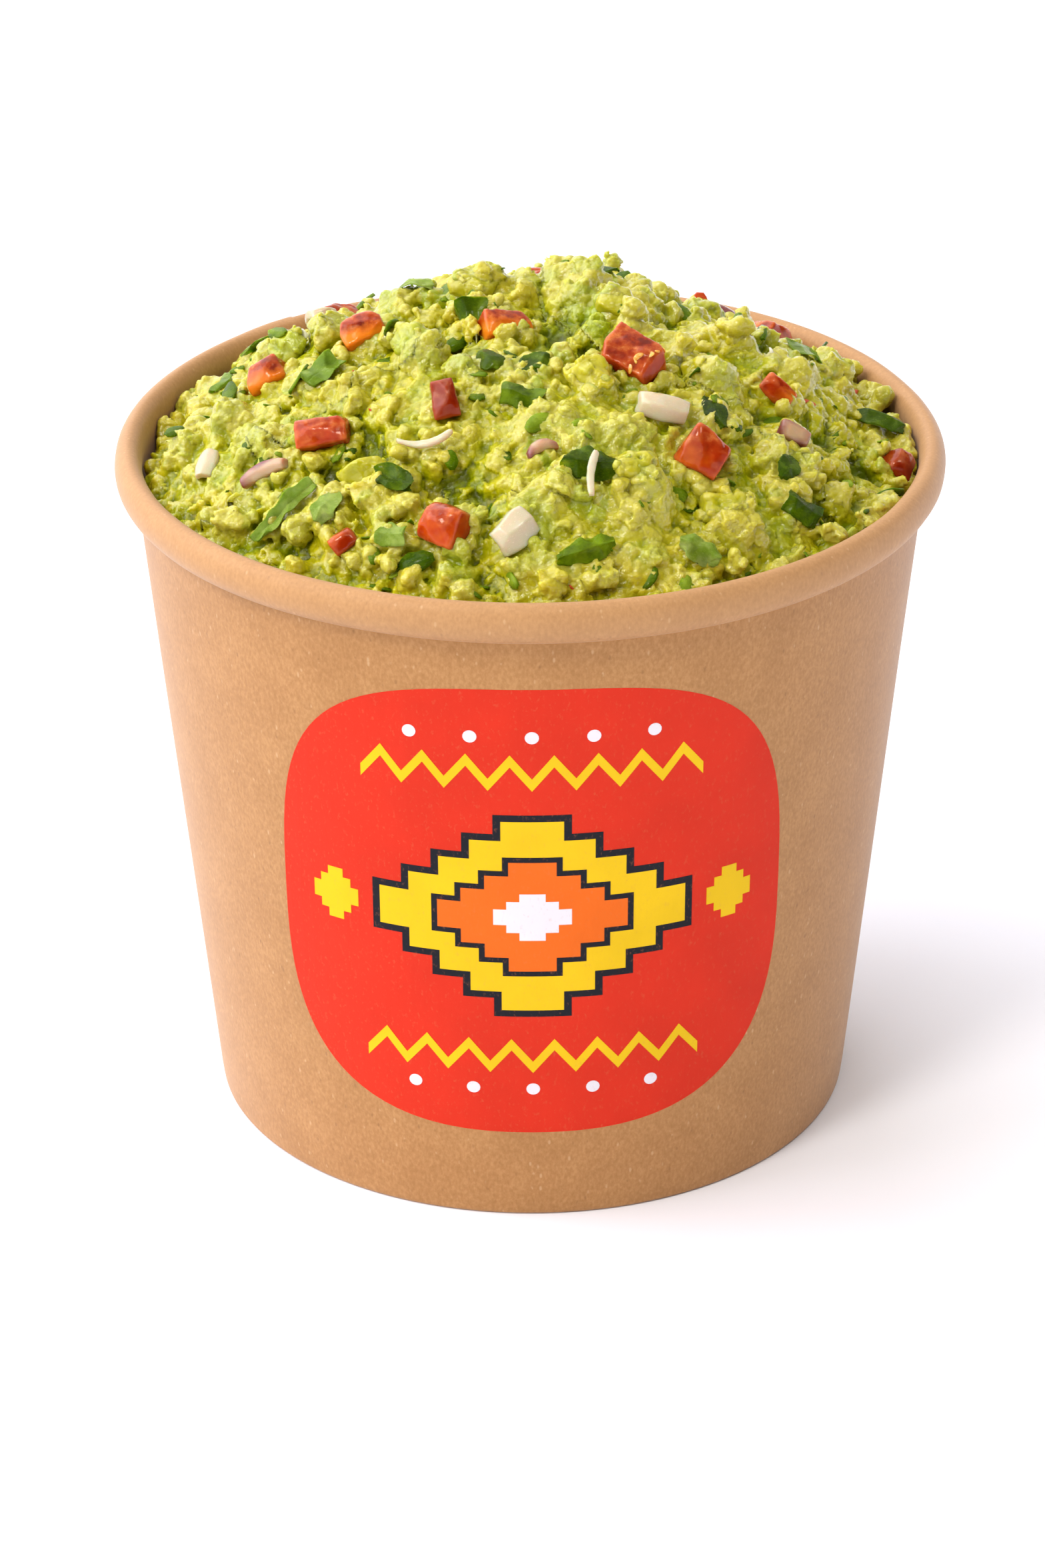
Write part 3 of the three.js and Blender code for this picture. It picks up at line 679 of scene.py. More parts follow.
def build_base():
    """The floor disc, slightly sagged, and its skirt."""
    low = FLOOR_LOW[2]
    top = FLOOR_HIGH[2]
    under = top - BOARD

    def outside(z):
        return wall_outer(z) - BOARD - FOLD_GAP

    disc = [(share * outside(under) * 0.985, under + 0.10 * MM * math.cos(math.pi * share))
            for share in np.linspace(BASE_HOLE, 0.97, 9)]
    skirt = [(outside(under) - BOARD, under), (outside(low) - BOARD, low), (outside(low), low)]
    upper = [(outside(top), top), (BASE_HOLE * outside(top), top)]
    base = turned("tub_base", disc + skirt + upper, circle(BASE_STEPS))
    close_middle(base.data)
    finish_piece(base, kraft_material("kraft_base"), "kraft_board", "tub_floor")


def close_middle(mesh):
    """The wall of the tiny hole that the base is turned round is taken out, and its two rims are filled."""
    with edited(mesh) as bm:
        near = [v for v in bm.verts if math.hypot(v.co.x, v.co.y) < 1.2 * MM]
        walls = [f for f in bm.faces if all(v in near for v in f.verts)]
        bmesh.ops.delete(bm, geom=walls, context="FACES_ONLY")
        fill_holes(bm)
        bmesh.ops.recalc_face_normals(bm, faces=bm.faces)


# ---- The print: a red panel with stepped diamonds, zigzags and dots ----

PRINT_MIDDLE = 42.4 * MM  # height of the panel's middle
PANEL_WIDE = 62.5 * MM
PANEL_TALL = 61 * MM
PRINT_BACK = -0.08 * MM  # the inks' closed backs lie this far inside the board
NET_EDGE, NET_STEP = 1.2 * MM, 1.6 * MM
INKS = {"red": (206, 46, 24), "yellow": (226, 184, 22), "orange": (224, 102, 26), "black": (28, 28, 34),
        "white": (224, 218, 222)}


def squircle(wide, tall, power, steps):
    a = circle(steps)
    sides = [(np.cos(a), wide / 2), (np.sin(a), tall / 2)]
    return np.stack([np.sign(c) * np.abs(c) ** (2 / power) * half for c, half in sides], 1)


def stepped_diamond(wide, tall, steps):
    """A diamond with a staircase for each side."""
    quarter = [(wide / 2, 0)]
    for i in range(steps):
        y = tall / 2 * (i + 1) / steps
        quarter += [(wide / 2 * (1 - i / steps), y), (wide / 2 * (1 - (i + 1) / steps), y)]
    left = [(-x, y) for x, y in reversed(quarter)]
    upper = np.array(quarter + left[:-1])
    points = np.concatenate([upper, -upper])
    keep = [i for i in range(len(points)) if np.linalg.norm(points[i] - points[i - 1]) > 1e-7]
    return points[keep]


def wider(outline, by):
    """A stepped outline drawn larger by the same margin on every side."""
    return outline + np.sign(np.round(outline, 6)) * by


def zigzag(wide, tall, thick, teeth, y):
    xs = np.linspace(-wide / 2, wide / 2, 2 * teeth + 1)
    ys = np.array([tall / 2 if i % 2 else -tall / 2 for i in range(len(xs))]) + y
    upper = np.stack([xs, ys + thick / 2], 1)
    lower = np.stack([xs[::-1], ys[::-1] - thick / 2], 1)
    return np.concatenate([upper, lower])


def dot(x, y, radius, steps=20):
    a = circle(steps)
    return np.stack([x + radius * np.cos(a), y + radius * np.sin(a)], 1)


def onto_wall(flat, out):
    """A flat point (across, up) carried onto the tub's outer face, out proud of it."""
    slope = (WALL_TOP_RADIUS - FOOT_RADIUS) / TUB_HEIGHT
    z = PRINT_MIDDLE + flat[:, 1] / math.hypot(1, slope)
    r = wall_outer(z) + out
    a = flat[:, 0] / wall_outer(z) - math.pi / 2
    return dented(np.stack([r * np.cos(a), r * np.sin(a), z], 1))


def dense(outline, step):
    """The same outline with no edge longer than step."""
    out = []
    for i, p in enumerate(outline):
        q = outline[(i + 1) % len(outline)]
        n = max(1, math.ceil(np.linalg.norm(q - p) / step))
        out += [p + (q - p) * k / n for k in range(n)]
    return np.array(out)


def inner_points(outline, step):
    """A net of points well inside an outline."""
    low, high = outline.min(0), outline.max(0)
    xs = np.arange(low[0] + step / 2, high[0], step)
    ys = np.arange(low[1] + step / 2, high[1], step)
    grid = np.array(list(product(xs, ys))).reshape(-1, 2)
    inside = np.zeros(len(grid), bool)
    near = np.full(len(grid), 1.0)
    for p, q in zip(outline, np.roll(outline, -1, 0)):
        crosses = (p[1] > grid[:, 1]) != (q[1] > grid[:, 1])
        x = p[0] + (grid[:, 1] - p[1]) * (q[0] - p[0]) / (q[1] - p[1] + 1e-15)
        inside ^= crosses & (grid[:, 0] < x)
        near = np.minimum(near, np.hypot(*(grid - p).T))
    return grid[inside & (near > step * 0.45)]


def net_of(outline):
    """An outline filled with a fine net: its points, and its triangles, all the same way up."""
    outline = dense(outline, NET_EDGE)
    points = [Vector(p) for p in np.concatenate([outline, inner_points(outline, NET_STEP)])]
    edges = [(i, (i + 1) % len(outline)) for i in range(len(outline))]
    flat, _, tris, *_ = delaunay_2d_cdt(points, edges, [], 1, 1e-9)
    flat = np.array([tuple(p) for p in flat])
    upright = []
    for a, b, c in tris:
        area = np.cross(flat[b] - flat[a], flat[c] - flat[a])
        upright.append((c, b, a) if area < 0 else (a, b, c))
    return flat, upright


def decal(name, outlines, material, proud):
    """One ink: closed outlines filled with a fine net, bent round the wall, and closed behind."""
    verts, faces = [], []
    for outline in outlines:
        flat, tris = net_of(outline)
        start = len(verts)
        behind = start + len(flat)
        for out in (proud, PRINT_BACK):
            verts += [tuple(p) for p in onto_wall(flat, out)]
        sides = {}
        for t in tris:
            faces.append([start + i for i in t])
            faces.append([behind + i for i in reversed(t)])
            for i in range(3):
                sides[(t[i], t[(i + 1) % 3])] = True
        for a, b in sides:
            if (b, a) not in sides:
                faces.append([start + b, start + a, behind + a, behind + b])
    finish_piece(new_object(name, verts, faces, smooth=False), material, "kraft_board")


def build_print():
    ink = {name: ink_material("ink_" + name, srgb(*colour)) for name, colour in INKS.items()}
    decal("print_panel", [squircle(PANEL_WIDE, PANEL_TALL, 3.0, 96)], ink["red"], 0.02 * MM)
    large = stepped_diamond(36 * MM, 26 * MM, 5)
    decal("print_outline", [wider(large, 0.9 * MM)], ink["black"], 0.035 * MM)
    decal("print_diamond", [large], ink["yellow"], 0.05 * MM)
    bands = [zigzag(40 * MM, 3.2 * MM, 1.6 * MM, 8, y) for y in (19.5 * MM, -19.5 * MM)]
    side = [stepped_diamond(6 * MM, 7 * MM, 3) + np.array([x, 0]) for x in (-23.8 * MM, 23.8 * MM)]
    decal("print_bands", bands + side, ink["yellow"], 0.05 * MM)
    inner = stepped_diamond(22 * MM, 15 * MM, 4)
    decal("print_inner_line", [wider(inner, 0.7 * MM)], ink["black"], 0.065 * MM)
    decal("print_inner", [inner], ink["orange"], 0.08 * MM)
    decal("print_heart", [stepped_diamond(9 * MM, 6.4 * MM, 3)], ink["white"], 0.095 * MM)
    dots = [dot(x, y, 0.8 * MM) for y in (24.2 * MM, -24.2 * MM) for x in np.arange(-14, 15, 7) * MM]
    decal("print_dots", dots, ink["white"], 0.05 * MM)


# ---- The heap's surface, read from the CAD mash ----

GRID_STEP = 0.6 * MM
GRID_REACH = 45.6 * MM
HILLS = [(11 * MM, 2.4 * MM), (5.5 * MM, 1.4 * MM)]  # how wide and how high
HILLS_BELOW = 1.1 * MM  # how far their middle lies under the CAD surface
PRESSED_UP = 0.35 * MM  # how far the mash stands up against a topping
CALM_ROUND = 3.2 * MM  # the hills fade out this near to a topping


def mean_of_sides(grid):
    """The mean of the four neighbours of each inner value of a grid."""
    return (grid[:-2, 1:-1] + grid[2:, 1:-1] + grid[1:-1, :-2] + grid[1:-1, 2:]) / 4


class Surface:
    """Heights of the mash on an even grid, with the seats of the toppings filled in."""

    def __init__(self):
        toppings = tree_of(TOPPINGS)
        self.axis = np.arange(-GRID_REACH, GRID_REACH + GRID_STEP, GRID_STEP)
        self.radii = np.hypot(self.axis[:, None], self.axis[None, :])
        height, covered = self.measured(tree_of(["guacamole"]), toppings)
        for _ in range(2):
            covered[1:-1, 1:-1] |= mean_of_sides(covered * 1.0) > 0
        self.height = self.filled(height, covered)
        self.smooth = self.height
        for _ in range(60):
            self.smooth = mean_of_sides(np.pad(self.smooth, 1, mode="edge"))
        self.hilly = self.with_hills(toppings)

    def measured(self, mash, toppings):
        """The mash's height at each grid point inside the tub, and whether a topping lies there."""
        height = np.full(self.radii.shape, np.nan)
        covered = np.zeros(self.radii.shape, bool)
        for i, j in zip(*np.nonzero(self.radii < HEAP_RADIUS - 0.3 * MM)):
            x, y = self.axis[i], self.axis[j]
            point = plumb(mash, x, y)[0]
            height[i, j] = point.z if point else np.nan
            covered[i, j] = plumb(toppings, x, y)[0] is not None
        return height, covered

    def filled(self, height, covered):
        """Heights with the covered places bridged evenly from their sides."""
        outside = np.isnan(height)
        known = ~outside & ~covered
        dome = HEAP_EDGE + 18 * MM * (1 - np.minimum(self.radii / HEAP_RADIUS, 1) ** 2.5)
        height = np.where(known, height, dome)
        for _ in range(120):
            mean = height.copy()
            mean[1:-1, 1:-1] = mean_of_sides(height)
            height = np.where(known | outside, height, mean)
        return height

    def with_hills(self, toppings):
        """The same surface with the spoonfuls and hollows of the mash, level again round each topping."""
        x, y = [side.ravel() for side in np.meshgrid(self.axis, self.axis, indexing="ij")]
        flat = np.stack([x, y, np.zeros(x.size)], 1)
        hills = sum(reach * noise(flat, size, 61 + k) for k, (size, reach) in enumerate(HILLS)) - HILLS_BELOW
        gap = np.array([gap_to(toppings, p) for p in np.stack([x, y, self.height.ravel()], 1)])
        free = np.clip(gap / CALM_ROUND, 0, 1)
        free = free * free * (3 - 2 * free)
        inside = np.clip((44 * MM - self.radii.ravel()) / (4 * MM), 0, 1)
        rise = hills * free * inside + PRESSED_UP * (1 - free)
        return self.height + rise.reshape(self.height.shape)

    def read(self, grid, x, y):
        """The grid's value at any points, between its nodes."""
        u, v = [np.clip((np.asarray(way) - self.axis[0]) / GRID_STEP, 0, len(self.axis) - 1.001)
                for way in (x, y)]
        i, j = u.astype(int), v.astype(int)
        fu, fv = u - i, v - j
        return (grid[i, j] * (1 - fu) * (1 - fv) + grid[i + 1, j] * fu * (1 - fv)
                + grid[i, j + 1] * (1 - fu) * fv + grid[i + 1, j + 1] * fu * fv)

    def standing(self, co):
        """How far points stand above the broad shape of the heap, from about -0.8 to 0.8."""
        above = co[:, 2] - self.read(self.smooth, co[:, 0], co[:, 1]) + HILLS_BELOW
        return np.clip(above / (2.2 * MM), -0.8, 0.8)

    def upright(self, x, y):
        """The outward direction of the smoothed heap at any points."""
        step = 1.2 * MM
        dx = self.read(self.smooth, x + step, y) - self.read(self.smooth, x - step, y)
        dy = self.read(self.smooth, x, y + step) - self.read(self.smooth, x, y - step)
        n = np.stack([-dx, -dy, np.full_like(dx, 2 * step)], 1)
        return n / np.linalg.norm(n, axis=1, keepdims=True)


# ---- Places for lumps, crumbs and flecks ----

LUMP_KINDS = [  # how many, radius from, to, and how far they stand out, in radii
    (95, 3.6 * MM, 6.4 * MM, -0.8, -0.35),
    (250, 2.2 * MM, 3.8 * MM, -0.75, -0.15),
    (260, 1.2 * MM, 2.2 * MM, -0.8, -0.4),
]
IN_FRONT = np.array([0, 2.4 * MM, 0])  # lumps this near to the front of a topping stay low as well
SMALLEST_LUMP = 0.45 * MM
RIM_LUMPS = 96
GRAIN_COUNT = 4500
GRAIN_SMALL, GRAIN_LARGE = 0.4 * MM, 0.85 * MM


def lump_places(surface, toppings, chunks, rng):
    """Where the lumps of the heap go: centres and radii."""
    centres, radii = [], []
    for count, small, large, low, high in LUMP_KINDS:
        share = np.sqrt(rng.random(count))
        a = rng.random(count) * TAU
        r = small + (large - small) * rng.random(count) ** 1.4
        reach = HEAP_RADIUS - 0.6 * r
        x, y = reach * share * np.cos(a), reach * share * np.sin(a)
        lift = surface.upright(x, y) * (rng.uniform(low, high, count) * r)[:, None]
        for c, wanted in zip(np.stack([x, y, surface.read(surface.hilly, x, y)], 1) + lift, r):
            behind = gap_to(toppings, c + IN_FRONT) + 0.5 * MM
            size = min(wanted, gap_to(toppings, c) / 0.85, behind / 0.85, gap_to(chunks, c) / 0.95)
            if size > SMALLEST_LUMP:
                centres.append(c)
                radii.append(size)
    return centres, radii


def along_rim(toppings, rng):
    """Lumps that lean on the tub's rolled rim all round, higher towards the right and the back."""
    centres, radii = [], []
    for a in circle(RIM_LUMPS):
        a += rng.uniform(-0.03, 0.03)
        r = rng.uniform(1.3, 2.4) * MM
        high = 0.5 + 0.5 * math.cos(a - math.radians(35))
        z = HEAP_EDGE + (rng.uniform(-0.7, 0.7) + 2.0 * high) * MM
        out = HEAP_RADIUS + 0.5 * MM - 0.8 * r
        c = np.array([out * math.cos(a), out * math.sin(a), z])
        size = min(r, gap_to(toppings, c) / 0.85)
        if size > 0.6 * MM:
            centres.append(c)
            radii.append(size)
    return centres, radii


def spread_on(mesh, rng, count):
    """Random points on a mesh, even by area: points and normals."""
    mesh.calc_loop_triangles()
    corners = points_of(mesh)[gathered(mesh.loop_triangles, "vertices", 3, np.int64)]
    a, b, c = corners[:, 0], corners[:, 1], corners[:, 2]
    cross = np.cross(b - a, c - a)
    area = np.linalg.norm(cross, axis=1)
    pick = rng.choice(len(area), count, p=area / area.sum())
    u, v = rng.random(count), rng.random(count)
    flip = u + v > 1
    u[flip], v[flip] = 1 - u[flip], 1 - v[flip]
    points = a[pick] + (b - a)[pick] * u[:, None] + (c - a)[pick] * v[:, None]
    return points, cross[pick] / area[pick][:, None]


def collar(surface, mesh, thin, rng):
    """Lumps pressed against the sides of one topping, some of them over its edge: (centre, radius)."""
    lumps, kept = [], []
    points, normals = spread_on(mesh, rng, 500)
    level = surface.read(surface.height, points[:, 0], points[:, 1])
    beside = (np.abs(normals[:, 2]) < 0.75) & (np.abs(points[:, 2] - level) < 1.6 * MM)
    for p, n, z in zip(points[beside], normals[beside], level[beside]):
        r = rng.uniform(0.6, 1.3) * MM if thin else rng.uniform(0.9, 2.0) * MM
        if any(np.linalg.norm(p[:2] - q[:2]) < 0.9 * r for q in kept):
            continue
        kept.append(p)
        if rng.random() < 0.3:
            continue
        c = p + n * r * (rng.uniform(-0.2, 0.5) if thin else rng.uniform(0.1, 0.7))
        c[2] = z + r * (rng.uniform(-0.3, 0.35) if thin else rng.uniform(-0.5, 0.3))
        lumps.append((c, r))
    return lumps


def bed(mesh, rng):
    """Lumps under one leaf: (centre, radius)."""
    lumps = []
    for p, n in zip(*spread_on(mesh, rng, 40)):
        if n[2] < -0.4:
            r = rng.uniform(1.4, 2.2) * MM
            lumps.append((p + n * r, r))
    return lumps


def collars(surface, rng):
    """Lumps pressed against each topping, and under each leaf: centres and radii."""
    lumps = []
    for name in TOPPINGS:
        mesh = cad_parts[name].data
        thin = name.startswith("herb")
        lumps += collar(surface, mesh, thin, rng)
        if thin:
            lumps += bed(mesh, rng)
    return zip(*lumps)


def landed(tree, rng, count, reach, clear_of, room, wanted=None):
    """Random places on a surface seen from above: points and normals."""
    points, normals = [], []
    while len(points) < count:
        r = reach * math.sqrt(rng.random())
        a = rng.random() * TAU
        point, normal = plumb(tree, r * math.cos(a), r * math.sin(a))
        if point is None or gap_to(clear_of, point) < room:
            continue
        if wanted and not wanted(point):
            continue
        points.append(np.array(point))
        normals.append(np.array(normal))
    return np.array(points), np.array(normals)


def in_drift(point):
    """Crumbs lie in drifts: bare, smeared patches are left between them."""
    return noise(np.array([point]), 6 * MM, 77)[0] > -0.5


def grain_places(rough, toppings, rng):
    """The mash's crumbs, half sunk in the rough skin: centres and radii."""
    points, normals = landed(rough, rng, GRAIN_COUNT, 44.8 * MM, toppings, 0.15 * MM, in_drift)
    r = GRAIN_SMALL + (GRAIN_LARGE - GRAIN_SMALL) * rng.random(GRAIN_COUNT) ** 2.0
    return points + normals * (r * rng.uniform(-0.75, -0.05, GRAIN_COUNT))[:, None], r


def leaning(normal, rng, towards_up, tipped):
    """A turn that lays a piece on a surface, at any heading, tipped a little."""
    lean = Vector(normal).lerp(Vector((0, 0, 1)), towards_up).to_track_quat("Z", "Y").to_matrix()
    tip = Matrix.Rotation(rng.normal() * tipped, 3, "X")
    return np.array(lean @ Matrix.Rotation(rng.random() * TAU, 3, "Z") @ tip)


# ---- The mash ----

MASH_VOXEL = 0.265 * MM
ROUGH_VOXEL = 0.6 * MM  # of the first skin, which the grains are laid on
MASH_PARTS = 3  # the finished skin is kept in as many pieces
MASH_CUT = 77 * MM  # below this the mash only fills the tub
BASE_BELOW = 0.8 * MM  # how far the ground between the lumps lies under the hilly surface
FIRST_BORDER = math.radians(-150)  # none of the parts' borders faces the front
HEAP_RINGS, HEAP_STEPS = 64, 200
COARSE_GRAINS = (2.1 * MM, 0.44 * MM)  # how wide and how high
FINE_GRAINS = (1.05 * MM, 0.26 * MM)
CHIPS = (1.8 * MM, 0.27 * MM)


def heap_solid(surface):
    """A closed block under the uneven surface, lowered a little so that the lumps make the skin."""
    share = np.linspace(0, 1, HEAP_RINGS + 1)[1:]
    a = circle(HEAP_STEPS)
    x = (HEAP_RADIUS * share[:, None] * np.cos(a)).ravel()
    y = (HEAP_RADIUS * share[:, None] * np.sin(a)).ravel()
    z = surface.read(surface.hilly, x, y) - BASE_BELOW
    crown = surface.read(surface.hilly, np.zeros(1), np.zeros(1))[0] - BASE_BELOW
    bottom = MASH_CUT - 4 * MM
    low = np.stack([HEAP_RADIUS * np.cos(a), HEAP_RADIUS * np.sin(a), np.full(HEAP_STEPS, bottom)], 1)
    verts = np.concatenate([[[0, 0, crown]], np.stack([x, y, z], 1), low, [[0, 0, bottom]]])
    foot = 1 + HEAP_RINGS * HEAP_STEPS
    under = [(foot + (i + 1) % HEAP_STEPS, foot + i, len(verts) - 1) for i in range(HEAP_STEPS)]
    return verts, disc_faces(HEAP_RINGS + 1, HEAP_STEPS) + under


def with_lumps(solid, centres, radii, corners, rng):
    """A solid's vertices and faces, with angular lumps added to them."""
    verts, faces = solid
    scales = radii[:, None] * rng.uniform(0.75, 1.2, (len(centres), 3))
    more, more_faces, _ = copies(lump_shapes(24, corners, 3), centres, scales, turns(rng, len(centres)), rng)
    return np.concatenate([verts, more]), list(faces) + list(more_faces + len(verts))


def crumbly(co):
    """How far the avocado's skin of small grains stands in or out at some points, and how proud each is."""
    bent = co + 0.45 * MM * np.stack([noise(co, 1.3 * MM, 24 + k) for k in range(3)], 1)
    coarse = grains(bent, COARSE_GRAINS[0], 31) - 0.55
    fine = grains(bent, FINE_GRAINS[0], 35) - 0.55
    chips = facets(co, CHIPS[0], 45)
    out = COARSE_GRAINS[1] * coarse + FINE_GRAINS[1] * fine + CHIPS[1] * chips
    return out, coarse + fine + 0.3 * chips


def held_in_mouth(co):
    """Nothing passes the tub's wall or its rolled rim."""
    middle = TUB_HEIGHT - ROLL_HEIGHT / 2
    rise = np.clip((co[:, 2] - middle) / (ROLL_HEIGHT / 2), 0, 1)
    bead = RIM_RADIUS - ROLL_WIDTH / 2 - ROLL_WIDTH / 2 * np.sqrt(1 - rise ** 2)
    limit = np.where(co[:, 2] < TUB_HEIGHT, bead, RIM_RADIUS - ROLL_WIDTH * 0.4)
    radius = np.hypot(co[:, 0], co[:, 1])
    pull = np.minimum(1, (limit - 0.03 * MM) / np.maximum(radius, 1e-9))
    out = co.copy()
    out[:, :2] *= pull[:, None]
    return out


def proud_of(co, smooth, normal, unit):
    """How far points stand out of a smoother copy of their surface, in units."""
    return ((co - smooth) * normal).sum(1) / unit


def relief_of(surface, mesh, proud):
    """How far each point stands out of the heap, its lump and its grain, from -1.5 to 1.5."""
    co, edges, normal = points_of(mesh), edges_of(mesh), normals_of(mesh)
    depth = proud_of(co, relaxed(co, edges, 90, 0.6), normal, 0.9 * MM)
    depth += proud_of(co, relaxed(co, edges, 14, 0.6), normal, 0.28 * MM)
    return np.clip(0.35 * depth + 0.3 * proud + 1.8 * surface.standing(co), -1.5, 1.5)


def nearest_lump(co, centres, rng):
    """For each point the lump it is nearest to, and that lump's own draw from -1 to 1."""
    tree = KDTree(len(centres))
    for k, c in enumerate(centres):
        tree.insert(Vector(c), k)
    tree.balance()
    owner = np.array([tree.find(Vector(p))[1] for p in co])
    return owner, rng.uniform(-1, 1, len(centres))[owner]


def mash_skin(surface, chunks, mashed, rng):
    """The heap with its lumps and grains, joined into one even skin: object, lumps' and grains' centres."""
    toppings = tree_of(TOPPINGS)
    sets = [lump_places(surface, toppings, chunks, rng), collars(surface, rng), along_rim(toppings, rng)]
    centres, radii = [np.concatenate(kind) for kind in zip(*sets)]
    solid = with_lumps(heap_solid(surface), centres, radii, 11, rng)
    rough = remeshed(new_object("rough", *solid), ROUGH_VOXEL)
    grain_centres, grain_radii = grain_places(tree_of_meshes([rough.data] + mashed), toppings, rng)
    bpy.data.objects.remove(rough)
    mash = new_object("avocado_mash", *with_lumps(solid, grain_centres, grain_radii, 10, rng))
    remeshed(mash, MASH_VOXEL)
    with edited(mash.data) as bm:
        cut(bm, (0, 0, MASH_CUT), (0, 0, 1), clear_inner=True)
    return mash, centres, grain_centres


def build_mash(surface, chunks, mashed):
    """The mash as one skin, then in its parts. Returns a search tree over it."""
    rng = np.random.default_rng(7)
    mash, centres, grain_centres = mash_skin(surface, chunks, mashed, rng)
    mesh = mash.data
    co = softened(mesh, 4)
    top = np.clip((co[:, 2] - MASH_CUT - 1 * MM) / (2 * MM), 0, 1)
    out, proud = crumbly(co)
    co = held_in_mouth(co + normals_of(mesh) * (out * top)[:, None])
    set_points(mesh, co)
    lump, lump_tone = nearest_lump(co, centres, rng)
    grain_tone = nearest_lump(co, grain_centres, rng)[1]
    tone = 0.6 * lump_tone + 0.25 * grain_tone + 0.6 * noise(co, 9 * MM, 41)
    # relief becomes painted light on what stands out and painted shade in the creases, in the mash's colour.
    store(mesh, relief=relief_of(surface, mesh, proud), tone=np.clip(tone, -1, 1))
    tree = tree_of_meshes([mesh])
    way = np.arctan2(centres[lump, 1], centres[lump, 0])
    share_out(mash, ((way - FIRST_BORDER) % TAU / TAU * MASH_PARTS).astype(int) % MASH_PARTS)
    return tree


def share_out(mash, part_of):
    """The finished skin in a few pieces, which meet in the creases between lumps."""
    material = mash_material("avocado_mash")
    for part in range(MASH_PARTS):
        obj = linked("avocado_mash_%d" % (part + 1), mash.data.copy())
        with edited(obj.data) as bm:
            others = [f for f in bm.faces if part_of[f.verts[0].index] != part]
            bmesh.ops.delete(bm, geom=others, context="FACES")
            fill_down(bm)
        finish_piece(obj, material, "avocado_mash", "guacamole")
    bpy.data.objects.remove(mash)


def fill_down(bm):
    """Carries a skin's open edge down to the tub's floor, drawn in as the tub is, and closes it."""
    low = FLOOR_HIGH[2] + 0.3 * MM
    made = bmesh.ops.extrude_edge_only(bm, edges=[e for e in bm.edges if e.is_boundary])["geom"]
    narrower = (wall_outer(low) - BOARD - 0.3 * MM) / (wall_outer(MASH_CUT) - BOARD)
    for v in made:
        if isinstance(v, bmesh.types.BMVert):
            v.co = Vector((v.co.x * narrower, v.co.y * narrower, low))
    fill_holes(bm)
    bmesh.ops.recalc_face_normals(bm, faces=bm.faces)
    for f in bm.faces:
        f.smooth = len(f.verts) < 9


# ---- Toppings, each worked up from its own CAD node ----

DIE_VOXEL = 0.21 * MM
ONION_VOXEL = 0.17 * MM
LEAF_VOXEL = 0.16 * MM
DEEP_TOMATOES = ("tomato_5", "tomato_10", "tomato_11")  # low in the mash, in shade
LIT_THROUGH_TOMATOES = {"tomato_1": 0.9, "tomato_3": 1.0, "tomato_4": 1.1, "tomato_9": 0.6}  # painted glow of light coming through their front lower side
SEEDY_TOMATO = "tomato_6"
PALE_HERBS = ["herb_%d" % k for k in (2, 8, 14, 15, 16, 17, 19, 20, 22)]


def pared(mesh, rng, cuts, deepest):
    """Some corners and edges of a piece cut off flat, as a knife leaves them."""
    with edited(mesh) as bm:
        bmesh.ops.remove_doubles(bm, verts=bm.verts, dist=0.01 * MM)
        middle = sum((v.co for v in bm.verts), Vector()) / len(bm.verts)
        for _ in range(cuts):
            way = Vector((rng.normal(), rng.normal(), abs(rng.normal()) * 0.9)).normalized()
            reach = max((v.co - middle).dot(way) for v in bm.verts)
            cut(bm, middle + way * reach * (1 - deepest * rng.uniform(0.4, 1.0)), way, clear_outer=True)
            fill_holes(bm)
        bmesh.ops.triangulate(bm, faces=bm.faces)
        bmesh.ops.recalc_face_normals(bm, faces=bm.faces)


def worked_up(node, suffix, voxel, soften, seed, cuts=0, deepest=0.0):
    """A fine copy of a CAD node with softened corners: object, points, places along its axes, axes, draws."""
    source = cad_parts[node].data
    rng = np.random.default_rng(seed)
    obj = new_object(node + suffix, points_of(source), [tuple(p.vertices) for p in source.polygons])
    pared(obj.data, rng, cuts, deepest)
    corners = points_of(obj.data)
    middle = corners.mean(0)
    axes = np.linalg.svd(corners - middle, full_matrices=False)[2]
    co = softened(remeshed(obj, voxel).data, soften)
    local = (co - middle) @ axes.T
    return obj, co, local / np.abs(local).max(0), axes, rng


def build_tomatoes():
    material = tomato_material()
    for i, node in each("tomato"):
        obj, co, _, _, rng = worked_up(node, "_die", DIE_VOXEL, 5, 300 + i, 5, 0.26)
        mesh = obj.data
        normal = normals_of(mesh)
        push = 0.18 * MM * noise(co, 2.8 * MM, 50 + i) + 0.05 * MM * noise(co, 0.8 * MM, 60 + i)
        above = np.clip(normal[:, 2] * 1.5 - 0.4, 0, 1)
        pits = above * (grains(co, 1.1 * MM, 75 + i) - 0.5) * 0.16 * MM
        co = co + normal * (push + pits)[:, None]
        set_points(mesh, co)
        # edge: how far points stand out along the die's ridges, which the material turns into a painted
        # highlight.
        edge = proud_of(co, relaxed(co, edges_of(mesh), 8, 0.6), normals_of(mesh), 0.12 * MM)
        # low_side is the front lower side, where a few dice get a painted glow of light coming through.
        low_side = (co - co.mean(0)) @ np.array([0.15, -0.7, -0.7]) / (0.5 * np.ptp(co[:, 2]))
        depth = 0.9 if node in DEEP_TOMATOES else rng.uniform(-0.5, 0.1)
        store(mesh, edge=np.clip(edge, -1, 1),
              above=normal[:, 2] * 0.9 + 0.25 * noise(co, 1.5 * MM, 70 + i),
              amber=LIT_THROUGH_TOMATOES.get(node, 0.0) * np.clip(0.55 + low_side, 0, 1),
              tone=np.clip(0.8 * noise(co, 3.2 * MM, 80 + i) + depth, -1, 1))
        finish_piece(obj, material, "tomato", node)
        if node == SEEDY_TOMATO:
            build_seeds(mesh)


